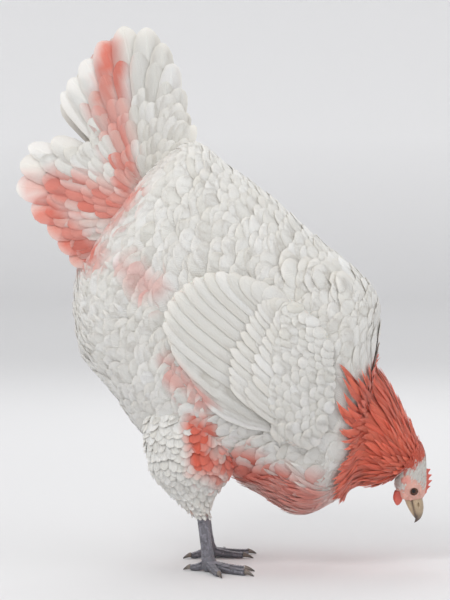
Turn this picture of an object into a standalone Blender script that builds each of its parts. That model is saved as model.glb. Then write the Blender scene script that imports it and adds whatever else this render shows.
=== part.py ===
"""Life-size still model of a heavy-breed hen, tail up and head down, reaching for food on the ground.

Blender 4.5, metres, +Z up. The hen faces +X and stands on Z = 0, with the origin on the ground under
the middle of its outline. One named object for each part that a person would name.
"""

import math

import bmesh
import bpy
import numpy as np
from mathutils import Matrix, Vector
from mathutils.bvhtree import BVHTree

MM = 0.001
GAP = 0.3  # mm kept between touching parts
SIDES = {"left": 1, "right": -1}  # the hen's own left is +Y

# The whole bird from rump to bill as one loft. Each ring has its point on the back (x, z), its point on the
# belly (x, z) and its half width, in mm.
BODY_RINGS = np.array((
    (-107, 332, -134, 290, 21),
    (-101, 343, -140, 276, 36),
    (-71, 376, -142, 238, 62),
    (-31, 403, -134, 199, 80),
    (3, 381, -107, 165, 90),
    (43, 352, -81, 129, 96),
    (88, 312, -50, 106, 98),
    (126, 281, -12, 94, 94),
    (144, 259, 26, 74, 86),
    (148, 231, 69, 49, 74),
    (146, 212, 101, 57, 62),
    (141, 194, 121, 75, 51),
    (154, 177, 134, 75, 43),
    (168, 153, 146, 76, 35),
    (180, 129, 156, 80, 26),
    (189, 111, 164, 86, 18.5),
), dtype=float)
RUMP_POLE = (-125, 311)
NECK_RING = 11  # the torso ends here and the neck begins
HEAD_RING = 15  # the neck ends here and the head begins
RING_POWER = 2.25  # superellipse power of every ring
BACK_TAPER = 0.10  # how much narrower a ring is over the back than under the belly

# The head, along its own axis from behind the eye towards the bill: crown (along, up), throat (along, up)
# and half width, in mm from the middle of the eyes.
HEAD_AT = (177.5, 74.0)
HEAD_DROP = math.radians(83.5)  # the bill points this far below level
HEAD_RINGS = np.array((
    (-22, 16.6, -8, -14.5, 16.8),
    (-11, 15.2, -3, -15.2, 16.2),
    (-1, 14.0, 2, -14.4, 14.8),
    (6, 12.2, 6.5, -11.8, 11.6),
    (11.3, 10.0, 11.0, -7.9, 8.4),
), dtype=float)

EYE_AT = (0.0, 1.0, 8.9)  # along, up and out from the middle plane
EYE_RADII = (6.9, 6.3, 6.0)
LID_TUBE = 1.0
EARLOBE_AT = (-9.5, -4.5, 15.0)
EARLOBE_RADII = (3.8, 5.0, 2.0)
GAPE_FOLD_AT = (8.6, -2.4, 8.6)  # the fold of skin at the corner of the mouth
GAPE_FOLD_RADII = (3.4, 1.5, 1.6)

BILL_LENGTH = 22.5
BILL_ROOT = 11.4
CULMEN_HEIGHT = 9.4
GAPE_HEIGHT = -1.6
GAPE_RISE = 3.4  # how far the mouth line climbs from its corner to the hook
CHIN_HEIGHT = -7.2
BILL_HALF_WIDTH = 7.0
HOOK = 2.2
NOSTRIL_AT = (6.0, 4.6)
NOSTRIL_RADII = (2.6, 1.0)

COMB_LENGTH = 27.0
COMB_POINTS = 5
COMB_HEIGHT = 6.5
COMB_BASE = 2.8
COMB_THICKNESS = 4.0
WATTLE_LENGTH = 14.0
WATTLE_WIDTH = 9.0
WATTLE_THICKNESS = 3.0

# Share of a feather's length, and its half width there as a share of the widest.
BROAD_VANE = ((0, 0.6), (0.3, 0.85), (0.65, 1.0), (0.9, 0.9), (0.98, 0.5))
TAIL_VANE = ((0, 0.6), (0.5, 0.95), (0.88, 0.93), (0.98, 0.5))
POINTED_VANE = ((0, 0.7), (0.4, 1.0), (0.78, 0.66))

HACKLE_TIERS = (
    # ring that the roots stand on, feathers round the neck, half width, length, lift of the tips
    (12.3, 18, 10, 0, 1.6),  # this tier reaches past the neck onto the trunk
    (13.4, 14, 9, 36, 1.0),
    (14.5, 11, 7.5, 30, 0.6),
)
HACKLE_INSET = 4.0  # the core of the neck lies this far inside the outline of the feathers
HACKLE_REACH = 17.0  # mean distance that the lowest tier reaches past the root of the neck
HACKLE_JAG = 8.0  # how much the reach varies round the neck, in clumps of feathers
HACKLE_JAG_AT = math.radians(6)
HACKLE_JAG_STEP = math.radians(47)
HACKLE_SHORT_FROM = math.radians(60)  # the reach falls off from here to the nape and to the throat
HACKLE_SHORT = 15.0
HACKLE_SHINGLE = 1.2

TUFT_SIDE = 2  # feathers on each side of the middle one in the tuft under the breast
TUFT_ROOT = 9.3
TUFT_LENGTH = 44.0
TUFT_LIFT = 7.0
TUFT_HALF_WIDTH = 12.0
TUFT_STEP = math.radians(17)

TAIL_ROOT = (-62, 348)  # where the tail feathers fan out from, x and z
# Tail feathers of one side: degrees round the fan from straight ahead, length from its root, half width.
TAIL_FEATHERS = (
    (70, 90, 10), (76, 110, 12), (82, 130, 13), (88, 149, 14), (94.5, 164, 15),
    (102, 168, 16), (110, 160, 16), (118, 150, 16), (126, 142, 15), (132, 137, 11),
    (149, 116, 13), (156, 134, 11), (165, 135, 15), (174.5, 134.5, 15.5), (184.5, 124, 16),
    (195, 114, 15.5), (205.5, 109.5, 14.5), (216, 107.5, 12.5),
)
TAIL_FEATHER_ROOT = 50  # from the root of the fan
TAIL_THICKNESS = 1.4
TAIL_SHINGLE = 2.6  # how far each feather's lower edge stands outside the next
TAIL_SPREAD_FROM = 92  # degrees round the fan where the two halves of the tent part
TAIL_SPREAD_TO = 205
TAIL_HALF_WIDTH = 36  # of the tent, at its lowest feathers
TAIL_FLUFF = 17  # added half width at the root
TAIL_CORE = 78  # radius of the solid root
TAIL_CORE_DEPTH = 3.5  # of the core under the outside of the feathers

WING_FRONT = ((70, 132), (80, 152), (82, 185), (78, 216), (62, 242))  # roots of the flight feathers
WING_REAR = ((-48, 216), (-56, 238), (-50, 258), (-33, 274), (-12, 281), (12, 277), (36, 266))
SECONDARIES = 9
PRIMARIES = 3
WING_HALF_WIDTH = 13.5
WING_COVERTS = (
    # feathers, length as a share of the flight feathers, half width, lift of root and tip
    (9, 0.55, 11, (1.5, 6.0)),
    (8, 0.36, 11.5, (2.0, 7.6)),
)
WING_SHINGLE = 1.5
# Rim of the smooth leading part of the wing, with the height of its edge.
SHOULDER_RIM = (
    (48, 146, 4), (50, 129, 5), (62, 121, 5.5), (76, 118, 5), (90, 126, 3), (98, 145, 1), (101, 172, 0.5),
    (101, 200, 0.5), (98, 222, 0.5), (86, 240, 1), (66, 254, 2), (50, 257, 3), (46, 230, 4), (43, 190, 4),
)
SHOULDER_HEIGHT = 9.5

THIGH_Y = 47
SHANK_TOP = (-20.5, 50)
SHANK_FOOT = (-16, 17)
SHANK_RADIUS = 5.4
TOE_RADIUS = 4.2
CLAW_LENGTH = 10

COLOURS = {
    "plumage": (0.86, 0.83, 0.78),
    "hackle": (0.62, 0.16, 0.08),
    "skin": (0.62, 0.10, 0.09),
    "eye": (0.03, 0.02, 0.02),
    "horn": (0.55, 0.47, 0.36),
    "scales": (0.20, 0.21, 0.24),
}
ROUGHNESS = {"eye": 0.08, "horn": 0.4, "scales": 0.55, "skin": 0.5}


def clear_scene():
    for obj in list(bpy.data.objects):
        bpy.data.objects.remove(obj)


def material(name):
    found = bpy.data.materials.get(name)
    if found:
        return found
    made = bpy.data.materials.new(name)
    made.use_nodes = True
    shader = made.node_tree.nodes["Principled BSDF"]
    shader.inputs["Base Color"].default_value = (*COLOURS[name], 1)
    shader.inputs["Roughness"].default_value = ROUGHNESS.get(name, 0.8)
    shader.inputs["Metallic"].default_value = 0
    return made


def mesh_object(name, points, faces, finish):
    """An object of triangles from points in millimetres, with its faces turned outwards."""
    mesh = bpy.data.meshes.new(name)
    mesh.from_pydata([Vector(p) * MM for p in points], [], faces)
    shell = bmesh.new()
    shell.from_mesh(mesh)
    bmesh.ops.recalc_face_normals(shell, faces=shell.faces)
    bmesh.ops.triangulate(shell, faces=shell.faces)
    shell.to_mesh(mesh)
    shell.free()
    mesh.materials.append(material(finish))
    mesh.shade_smooth()
    obj = bpy.data.objects.new(name, mesh)
    bpy.context.collection.objects.link(obj)
    return obj


def largest_shell(mesh):
    """Keeps only the closed surface that encloses the most."""
    whole = bmesh.new()
    whole.from_mesh(mesh)
    bmesh.ops.triangulate(whole, faces=whole.faces)
    left = set(whole.faces)
    shells = []
    while left:
        shell = {left.pop()}
        reached = list(shell)
        while reached:
            edges = [e for e in reached.pop().edges if len(e.link_faces) == 2]
            near = {f for e in edges for f in e.link_faces} & left
            left -= near
            shell |= near
            reached.extend(near)
        volume = sum(
            f.verts[0].co.dot(f.verts[1].co.cross(f.verts[2].co)) for f in shell
        )
        shells.append((volume, shell))
    best = max(shells, key=lambda pair: pair[0])[1]
    bmesh.ops.delete(whole, geom=[f for f in whole.faces if f not in best], context="FACES")
    whole.to_mesh(mesh)
    whole.free()


def bake(obj, smooth_angle=40):
    """Applies an object's modifiers and keeps its largest shell."""
    bpy.context.view_layer.update()
    graph = bpy.context.evaluated_depsgraph_get()
    mesh = bpy.data.meshes.new_from_object(obj.evaluated_get(graph))
    obj.modifiers.clear()
    obj.data = mesh
    largest_shell(mesh)
    mesh.shade_smooth()
    mesh.set_sharp_from_angle(angle=math.radians(smooth_angle))
    return obj


def fuse(name, pieces, solver="EXACT"):
    """One closed body from closed pieces that overlap."""
    first, *others = pieces
    first.name = name
    if others:
        group = bpy.data.collections.new(name + "_pieces")
        for piece in others:
            bpy.context.collection.objects.unlink(piece)
            group.objects.link(piece)
        bpy.context.scene.collection.children.link(group)
        join = first.modifiers.new("join", "BOOLEAN")
        join.operation = "UNION"
        join.operand_type = "COLLECTION"
        join.collection = group
        join.solver = solver
        bake(first)
        for piece in others:
            bpy.data.objects.remove(piece)
        bpy.data.collections.remove(group)
    return first


def cut(obj, cutter, solver="EXACT"):
    """Takes the cutter out of an object and removes the cutter."""
    part = obj.modifiers.new("cut", "BOOLEAN")
    part.operation = "DIFFERENCE"
    part.object = cutter
    part.solver = solver
    bake(obj)
    bpy.data.objects.remove(cutter)
    return obj


def smooth_rows(rows, at):
    """Catmull-Rom values between the rows of a table, at a fractional row number."""
    last = len(rows) - 1
    low = int(min(max(math.floor(at), 0), last - 1))
    share = at - low
    before = rows[low - 1] if low > 0 else 2 * rows[0] - rows[1]
    after = rows[low + 2] if low + 2 <= last else 2 * rows[last] - rows[last - 1]
    a, b = rows[low], rows[low + 1]
    return 0.5 * (
        2 * a
        + (b - before) * share
        + (2 * before - 5 * a + 4 * b - after) * share**2
        + (3 * a - before - 3 * b + after) * share**3
    )


def ring_point(row, angle, inset=0.0):
    """A point on a ring. The angle is 0 on the left flank, 90 degrees over the back."""
    back, belly, half_width = row[0:2], row[2:4], row[4]
    middle = (back + belly) / 2
    up = (back - belly) / 2
    half_height = np.linalg.norm(up)
    power = 2 / RING_POWER
    rise = math.copysign(abs(math.sin(angle)) ** power, math.sin(angle))
    reach = math.copysign(abs(math.cos(angle)) ** power, math.cos(angle))
    x, z = middle + up / half_height * rise * (half_height - inset)
    y = reach * (half_width - inset) * (1 - BACK_TAPER * rise)
    return np.array((x, y, z))


def body_point(at, angle, lift=0.0):
    """A point on the outline of the bird at a fractional ring, lifted square off the surface."""
    step = 0.02
    point = ring_point(smooth_rows(BODY_RINGS, at), angle)
    if not lift:
        return point
    along = ring_point(smooth_rows(BODY_RINGS, at + step), angle) - point
    around = ring_point(smooth_rows(BODY_RINGS, at), angle + step) - point
    normal = np.cross(around, along)
    normal /= np.linalg.norm(normal)
    return point + lift * normal


def loft(name, rings, finish, poles=(None, None)):
    """A closed skin over rings of equal length, with flat ends, or a pole point at an end."""
    count = len(rings[0])
    points = [p for ring in rings for p in ring]
    faces = []
    for r in range(len(rings) - 1):
        for i in range(count):
            j = (i + 1) % count
            faces.append((r * count + i, r * count + j, (r + 1) * count + j, (r + 1) * count + i))
    for first, pole in ((0, poles[0]), ((len(rings) - 1) * count, poles[1])):
        if pole is None:
            faces.append(tuple(range(first, first + count)))
        else:
            points.append(pole)
            faces.extend((first + i, first + (i + 1) % count, len(points) - 1) for i in range(count))
    return mesh_object(name, points, faces, finish)


def ellipsoid(name, centre, radii, finish, columns=16, rows=8, turn=None):
    """An ellipsoid with its poles along its third radius."""
    rings = []
    for r in range(1, rows):
        polar = math.pi * r / rows
        rings.append([
            np.array((
                radii[0] * math.sin(polar) * math.cos(2 * math.pi * c / columns),
                radii[1] * math.sin(polar) * math.sin(2 * math.pi * c / columns),
                radii[2] * math.cos(polar),
            ))
            for c in range(columns)
        ])
    poles = [np.array((0, 0, radii[2])), np.array((0, 0, -radii[2]))]
    place = turn or (lambda p: p)
    rings = [[np.array(centre) + place(p) for p in ring] for ring in rings]
    poles = [np.array(centre) + place(p) for p in poles]
    return loft(name, rings, finish, poles)


def vane(place, half_width, thickness, profile, finish, depth=0.0):
    """One feather or lock. place(share of length, across, height) puts its points in space."""
    rings = []
    for share, width in profile:
        half, high = half_width * width, thickness * (1 - 0.5 * share)
        rings.append([
            place(share, -half, -depth),
            place(share, -half, high),
            place(share, half, high),
            place(share, half, -depth),
        ])
    return loft("vane", rings, finish, (None, place(1.0, 0, 0.3 * thickness)))


def body_rings(first, last, count, columns, inset=0.0):
    """Rings of the body loft between two fractional rows. The inset fades out in front of the head."""
    angles = [2 * math.pi * c / columns for c in range(columns)]
    return [
        [ring_point(smooth_rows(BODY_RINGS, at), a, inset * min(1, (HEAD_RING - at) / 1.5)) for a in angles]
        for at in np.linspace(first, last, count)
    ]


def torso():
    """The feathered trunk, from the rump to the root of the neck."""
    rings = body_rings(0, NECK_RING, 21, 26)
    pole = np.array((RUMP_POLE[0], 0, RUMP_POLE[1]))
    pieces = [loft("torso", rings, "plumage", (pole, None))]
    for k in range(-TUFT_SIDE, TUFT_SIDE + 1):
        angle = -math.pi / 2 + k * TUFT_STEP
        tip_at = walk(TUFT_ROOT, angle, TUFT_LENGTH)
        tip_lift = TUFT_LIFT * (1 - (k / (TUFT_SIDE + 1)) ** 2)

        def place(share, across, height):
            half_width = smooth_rows(BODY_RINGS, TUFT_ROOT)[4]
            lift = height if height < 0 else height + (2 + tip_lift) * share - 2
            at = TUFT_ROOT + (tip_at - TUFT_ROOT) * share
            return body_point(at, angle + across / half_width, lift)

        pieces.append(vane(place, TUFT_HALF_WIDTH, 2.0, TAIL_VANE, "plumage", depth=4.0))
    return fuse("torso", pieces)


def neck_core(inset):
    """The neck without its hackle, a little inside the outline of the feathers."""
    rings = body_rings(NECK_RING, HEAD_RING, 8, 20, inset)
    back, belly = BODY_RINGS[NECK_RING][0:2], BODY_RINGS[NECK_RING][2:4]
    ahead = square_to(back - belly)
    rings[0] = [p + GAP * ahead for p in rings[0]]
    back, belly = BODY_RINGS[HEAD_RING][0:2], BODY_RINGS[HEAD_RING][2:4]
    ahead = square_to(back - belly)
    rings[-1] = [p - GAP / 2 * ahead for p in rings[-1]]
    return loft("neck", rings, "hackle")


def walk(at, angle, distance):
    """The fractional ring reached by going this far towards the tail from another."""
    here, step = body_point(at, angle), 0.05
    while distance > 0:
        at -= step
        there = body_point(at, angle)
        distance -= np.linalg.norm(there - here)
        here = there
    return at


def hackle_vane(root_at, angle, half_width, length, lift):
    """A pointed neck feather that follows the neck towards the shoulder."""
    tip_at = walk(root_at, angle, length)

    def place(share, across, height):
        at = root_at + (tip_at - root_at) * share
        ring = smooth_rows(BODY_RINGS, at)
        size = (np.linalg.norm(ring[0:2] - ring[2:4]) / 2 + ring[4]) / 2
        inset = HACKLE_INSET * min(1, (HEAD_RING - root_at) / 1.5)
        sink = (inset + lift + 2.5) * (1 - share / 0.5) ** 2 if share < 0.5 else 0
        tilt = HACKLE_SHINGLE * across / half_width
        return body_point(at, angle + across / size, lift + tilt - sink + height)

    return vane(place, half_width, 1.5, POINTED_VANE, "hackle")


def neck(trunk):
    """The neck with its cape of hackle feathers in three tiers."""
    pieces = [neck_core(HACKLE_INSET)]
    for tier, (root_at, count, half_width, length, lift) in enumerate(HACKLE_TIERS):
        for k in range(count):
            angle = 2 * math.pi * (k + 0.5 * (tier % 2)) / count
            reach = length
            if not length:
                jag = math.cos(2 * math.pi * (wrap(angle) - HACKLE_JAG_AT) / HACKLE_JAG_STEP)
                short = max(0, abs(wrap(angle)) - HACKLE_SHORT_FROM) / (math.pi / 2 - HACKLE_SHORT_FROM)
                at_root = np.linalg.norm(body_point(root_at, angle) - body_point(NECK_RING, angle))
                reach = at_root + HACKLE_REACH + HACKLE_JAG * jag - HACKLE_SHORT * short
            pieces.append(hackle_vane(root_at, angle, half_width, reach, lift))
    return cut(fuse("neck", pieces), inflated(trunk, GAP))


def wrap(angle):
    """The same angle on the left half of a ring, from -90 to 90 degrees."""
    return math.asin(math.sin(angle))


def square_to(up):
    """The level direction of travel of a ring whose back lies along up, as a 3-D vector."""
    along = np.array((up[1], -up[0])) / np.linalg.norm(up)
    return np.array((along[0], 0, along[1]))


def head_point(along, up, out=0.0):
    """A point given in the head's own frame: towards the bill, towards the crown, and to the left."""
    forward = np.array((math.cos(HEAD_DROP), 0, -math.sin(HEAD_DROP)))
    crown = np.array((math.sin(HEAD_DROP), 0, math.cos(HEAD_DROP)))
    return np.array((HEAD_AT[0], 0, HEAD_AT[1])) + along * forward + up * crown + np.array((0, out, 0))


def head_turn(p):
    """Turns an ellipsoid whose axes are along, up and out into the head's frame."""
    return head_point(p[0], p[1], p[2]) - head_point(0, 0, 0)


def eye_shape(name, side, grow, columns, rows):
    centre = head_point(EYE_AT[0], EYE_AT[1], side * EYE_AT[2])
    radii = [r + grow for r in EYE_RADII]
    return ellipsoid(name, centre, radii, "eye", columns, rows, head_turn)


def lid(side):
    """The rim of the eyelids, an oval ring round the eye, a little deeper behind than in front."""
    columns, tube_sides = 16, 4
    rings = []
    for c in range(columns):
        turn = 2 * math.pi * c / columns
        ring = []
        for t in range(tube_sides):
            roll = 2 * math.pi * t / tube_sides
            reach = 1 + LID_TUBE * math.cos(roll) / 5.0
            ring.append(head_point(
                EYE_AT[0] + 5.6 * reach * math.cos(turn),
                EYE_AT[1] + 4.9 * reach * math.sin(turn),
                side * (13.5 - 1.5 * math.cos(turn) + LID_TUBE * math.sin(roll)),
            ))
        rings.append(ring)
    points = [p for ring in rings for p in ring]
    faces = []
    for c in range(columns):
        d = (c + 1) % columns
        for t in range(tube_sides):
            u = (t + 1) % tube_sides
            faces.append((c * tube_sides + t, c * tube_sides + u, d * tube_sides + u, d * tube_sides + t))
    return mesh_object("lid", points, faces, "skin")


def head():
    """The skull with its cheeks, lids and ear lobes, from the neck to the root of the bill."""
    row = BODY_RINGS[HEAD_RING]
    columns = 20
    angles = [2 * math.pi * c / columns for c in range(columns)]
    ahead = square_to(row[0:2] - row[2:4])
    neck_end = [ring_point(row, a) + GAP / 2 * ahead for a in angles]
    rings = [neck_end]
    for at in np.linspace(0, len(HEAD_RINGS) - 1, 8):
        crown_along, crown_up, throat_along, throat_up, half_width = smooth_rows(HEAD_RINGS, at)
        crown = head_point(crown_along, crown_up)[[0, 2]]
        throat = head_point(throat_along, throat_up)[[0, 2]]
        ring = np.array((*crown, *throat, half_width))
        rings.append([ring_point(ring, a) for a in angles])
    skull = loft("head", rings, "skin")
    pieces = [skull]
    for side in SIDES.values():
        pieces.append(lid(side))
        centre = head_point(EARLOBE_AT[0], EARLOBE_AT[1], side * EARLOBE_AT[2])
        pieces.append(ellipsoid("lobe", centre, EARLOBE_RADII, "skin", 10, 6, head_turn))
        centre = head_point(GAPE_FOLD_AT[0], GAPE_FOLD_AT[1], side * GAPE_FOLD_AT[2])
        pieces.append(ellipsoid("gape", centre, GAPE_FOLD_RADII, "skin", 8, 6, head_turn))
    skull = fuse("head", pieces)
    for side in SIDES.values():
        cut(skull, eye_shape("socket", side, GAP, 18, 8))
    return skull


def bill_half(name, upper):
    """One half of the bill. The upper half arches along the culmen and hooks over the lower one."""
    columns, steps = 12, 7
    length = BILL_LENGTH if upper else BILL_LENGTH - 4
    rings = []
    for s in range(steps):
        share = s / (steps - 1) * 0.97
        along = BILL_ROOT + GAP + length * share
        mouth = GAPE_HEIGHT + GAPE_RISE * share * length / BILL_LENGTH
        taper = (1 - share**1.6) ** 0.75
        if upper:
            top = mouth + (CULMEN_HEIGHT - GAPE_HEIGHT) * (1 - share**2.4) ** 0.8
            bottom = mouth - HOOK * max(0, share - 0.87) * 5
        else:
            top = mouth - GAP
            bottom = top + (CHIN_HEIGHT - GAPE_HEIGHT) * (1 - share**1.8) ** 0.9 - 0.2
        half = max(0.5, BILL_HALF_WIDTH * taper)
        ring = []
        for c in range(columns):
            angle = 2 * math.pi * (c + 0.5) / columns
            rise, reach = math.sin(angle), math.cos(angle)
            flat = 0.35 if (rise < 0) == upper else 1.0
            height = (top + bottom) / 2 + (top - bottom) / 2 * math.copysign(abs(rise) ** flat, rise)
            ring.append(head_point(along, height, half * reach * (1 - 0.25 * max(0, rise if upper else -rise))))
        rings.append(ring)
    tip_height = GAPE_HEIGHT + GAPE_RISE * length / BILL_LENGTH - (HOOK if upper else 1.0)
    tip = head_point(BILL_ROOT + GAP + length, tip_height)
    return loft(name, rings, "horn", (None, tip))


def bill():
    upper = bill_half("bill_upper", True)
    for side in SIDES.values():
        centre = head_point(BILL_ROOT + NOSTRIL_AT[0], NOSTRIL_AT[1], side * BILL_HALF_WIDTH * 0.86)
        cut(upper, ellipsoid("nostril", centre, (*NOSTRIL_RADII, 1.6), "horn", 8, 4, head_turn))
    bill_half("bill_lower", False)


def crown_line(along):
    """Height of the crown above the eye line."""
    return float(np.interp(along, HEAD_RINGS[:, 0], HEAD_RINGS[:, 1]))


def comb(skull):
    """A low single comb with five rounded points, standing on the crown."""
    steps = 4 * COMB_POINTS
    rear = -COMB_LENGTH * 0.6
    base, edge = [], []
    for s in range(steps + 1):
        share = s / steps
        along = rear + COMB_LENGTH * share
        wave = 0.5 - 0.5 * math.cos(2 * math.pi * COMB_POINTS * share)
        swell = math.sin(math.pi * min(1, 0.12 + 0.88 * share)) ** 0.6
        base.append((along, crown_line(along) - COMB_THICKNESS / 2))
        rise = COMB_BASE + (COMB_HEIGHT - COMB_BASE) * wave**1.5
        edge.append((along - 1.8 * wave, crown_line(along) + swell * rise))
    rings = []
    for (along, low), (edge_along, high) in zip(base, edge):
        half = COMB_THICKNESS / 2
        middle = (low + high) / 2
        rings.append([
            head_point(along, low, half),
            head_point((along + edge_along) / 2, middle, half * 0.8),
            head_point(edge_along, high, half * 0.35),
            head_point(edge_along, high, -half * 0.35),
            head_point((along + edge_along) / 2, middle, -half * 0.8),
            head_point(along, low, -half),
        ])
    return cut(loft("comb", rings, "skin"), inflated(skull, GAP))


def wattle(name, side, skull):
    """A small folded wattle that hangs straight down beside the chin."""
    rings = []
    top = head_point(1.0, -13.5, side * 7.0)
    steps, columns = 8, 8
    for s in range(steps):
        share = s / (steps - 1)
        spread = WATTLE_WIDTH / 2 * (0.55 + 0.45 * math.sin(math.pi * (0.15 + 0.75 * share)))
        spread *= (1 - share**4) ** 0.5 * 0.9 + 0.1
        thick = WATTLE_THICKNESS / 2 * (0.75 + 0.35 * share)
        ring = []
        for c in range(columns):
            angle = 2 * math.pi * c / columns
            fold = 0.8 * math.sin(2 * math.pi * share) * math.cos(angle)
            ring.append(top + np.array((
                spread * math.cos(angle) - 1.5 * share,
                side * (thick * math.sin(angle) + fold),
                -WATTLE_LENGTH * share,
            )))
        rings.append(ring)
    return cut(loft(name, rings, "skin"), inflated(skull, GAP))


def inflated(obj, by):
    """A copy of a closed object, grown along its normals by this many millimetres."""
    copy = bpy.data.objects.new(obj.name + "_grown", obj.data.copy())
    bpy.context.collection.objects.link(copy)
    normals = [v.normal.copy() for v in copy.data.vertices]
    for vertex, normal in zip(copy.data.vertices, normals):
        vertex.co += normal * by * MM
    return copy


def thigh(name, side, trunk):
    """The feathered drumstick, wide where it leaves the belly and narrow at the hock."""
    rows = np.array((
        # x, z, half length, half width, distance from the middle plane
        (-22, 190, 42, 26, 52),
        (-30, 140, 46, 33, 50),
        (-32, 108, 42, 34, 48),
        (-31, 90, 37, 31, THIGH_Y),
        (-30.5, 76, 25, 21, THIGH_Y),
        (-27, 62, 15, 14, THIGH_Y),
        (-21, 49.5, 7.4, 7.4, THIGH_Y),
    ), dtype=float)
    columns = 16
    rings = []
    for at in np.linspace(0, len(rows) - 1, 12):
        x, z, long, wide, out = smooth_rows(rows, at)
        rings.append([
            np.array((
                x + long * math.cos(2 * math.pi * c / columns),
                side * out + wide * math.sin(2 * math.pi * c / columns),
                z,
            ))
            for c in range(columns)
        ])
    leg = loft(name, rings, "plumage")
    return cut(leg, inflated(trunk, GAP))


def tube(name, stations, finish, columns, flat_below=None):
    """A closed tube through stations of centre, sideways radius and upright radius, cut flat at a level."""
    rings = []
    for i, (centre, wide, tall) in enumerate(stations):
        ahead = np.array(stations[min(i + 1, len(stations) - 1)][0]) - np.array(stations[max(i - 1, 0)][0])
        ahead = ahead / np.linalg.norm(ahead)
        aside = np.cross((0, 0, 1), ahead) if abs(ahead[2]) < 0.8 else np.cross((1, 0, 0), ahead)
        aside /= np.linalg.norm(aside)
        over = np.cross(ahead, aside)
        ring = []
        for c in range(columns):
            angle = 2 * math.pi * (c + 0.5) / columns
            p = np.array(centre) + aside * wide * math.cos(angle) + over * tall * math.sin(angle)
            if flat_below is not None:
                p[2] = max(p[2], flat_below)
            ring.append(p)
        rings.append(ring)
    return loft(name, rings, finish)


def shank(name, side):
    """The bare scaled part of the leg. The plates down its front stand out as steps."""
    top = np.array((SHANK_TOP[0], side * THIGH_Y, SHANK_TOP[1] - 1.2))
    foot = np.array((SHANK_FOOT[0], side * THIGH_Y, SHANK_FOOT[1]))
    plates = 5
    stations = []
    for k in range(plates):
        for part, grow in ((0.0, 0.5), (0.82, 0.0)):
            share = (k + part) / plates
            centre = top + (foot - top) * share + np.array((0.35 * grow, 0, 0))
            radius = SHANK_RADIUS + grow * 0.6 + 0.9 * max(0, share - 0.75)
            stations.append((centre, radius * 0.88, radius))
    stations.append((foot, SHANK_RADIUS * 1.05, SHANK_RADIUS * 1.1))
    return tube(name, stations, "scales", 12)


TOES = (
    # name, angle from the way the foot points (out is positive), length without claw, joint count
    ("hind", 168, 19),
    ("inner", -38, 33),
    ("middle", 0, 43),
    ("outer", 37, 36),
)
FOOT_OUT = {"left": math.radians(30), "right": math.radians(38)}


def toe_direction(side_name, angle):
    side = SIDES[side_name]
    yaw = side * (FOOT_OUT[side_name] + math.radians(angle))
    return np.array((math.cos(yaw), math.sin(yaw), 0))


def foot(side_name):
    """Four toes with raised plates on a common pad, and their claws as parts of their own."""
    side = SIDES[side_name]
    hub = np.array((SHANK_FOOT[0] + 1, side * THIGH_Y, 0))
    pieces = []
    pad = [
        (hub + np.array((-0.5, 0, SHANK_FOOT[1] - GAP)), 5.2, 5.4),
        (hub + np.array((0, 0, 12)), 6.3, 6.6),
        (hub + np.array((0.5, 0, 6)), 7.0, 7.4),
        (hub + np.array((0.5, 0, 0)), 5.8, 6.2),
    ]
    pieces.append(tube("pad", pad, "scales", 12))
    for toe_name, angle, length in TOES:
        ahead = toe_direction(side_name, angle)
        start = 2.0
        plates = max(3, round(length / 8))
        stations = [(hub + ahead * start + np.array((0, 0, 7.5)), 3.8, 4.6)]
        for k in range(plates):
            for part, grow in ((0.1, 0.35), (0.9, -0.15)):
                share = (k + part) / plates
                radius = TOE_RADIUS * (1 - 0.26 * share) + grow
                height = radius + 3.4 * (1 - share) ** 2 - 0.6
                stations.append((hub + ahead * (start + (length - start) * share) + np.array((0, 0, height)),
                                 radius * 0.95, radius))
        pieces.append(tube("toe_" + toe_name, stations, "scales", 8, 0.0))
        claw("claw_" + toe_name + "_" + side_name, hub + ahead * (length + GAP), ahead, toe_name)
    return fuse("foot_" + side_name, pieces)


def claw(name, root, ahead, toe_name):
    """A blunt curved claw that rests its tip on the ground."""
    length = CLAW_LENGTH * (0.8 if toe_name == "hind" else 1.0)
    steps = 5
    stations = []
    for s in range(steps):
        share = s / (steps - 1) * 0.96
        radius = 2.5 * (1 - share) ** 0.8 + 0.25
        height = 3.6 - 3.2 * share**1.5
        stations.append((root + ahead * length * share + np.array((0, 0, max(height, radius)),),
                         radius * 0.8, radius))
    return tube(name, stations, "horn", 7, 0.0)


def drape_on(trunk):
    """A function that lays a point of the side view on the flank of the trunk, lifted square off it."""
    graph = bpy.context.evaluated_depsgraph_get()
    tree = BVHTree.FromObject(trunk, graph)

    def flank(x, z):
        hit = tree.ray_cast(Vector((x, 300, z)) * MM, Vector((0, -1, 0)))[0]
        return np.array(hit) / MM

    def place(x, z, lift, side):
        spread = 6
        spot = flank(x, z)
        normal = np.cross(
            flank(x, z + spread) - flank(x, z - spread), flank(x + spread, z) - flank(x - spread, z)
        )
        x, y, z = spot + lift * normal / np.linalg.norm(normal)
        return np.array((x, side * y, z))

    return place


def on_line(points, share):
    """A point at a share of the way along a smooth line through the points."""
    return smooth_rows(np.array(points, dtype=float), share * (len(points) - 1))


def wing_vane(drape, side, root, tip, half_width, lifts, bow=0.0, profile=BROAD_VANE):
    """A feather of the folded wing. Its lower edge stands over the next one below."""
    along = np.array(tip) - root
    up = np.array((along[1], -along[0])) / np.linalg.norm(along)
    up = up if up[1] > 0 else -up

    def place(share, across, height):
        x, z = root + along * share + up * (across + bow * 4 * share * (1 - share))
        lift = lifts[0] + (lifts[1] - lifts[0]) * share - WING_SHINGLE * across / half_width
        return drape(x, z, lift + height if height >= 0 else height, side)

    return vane(place, half_width, 1.4, profile, "plumage", depth=3.0)


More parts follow.
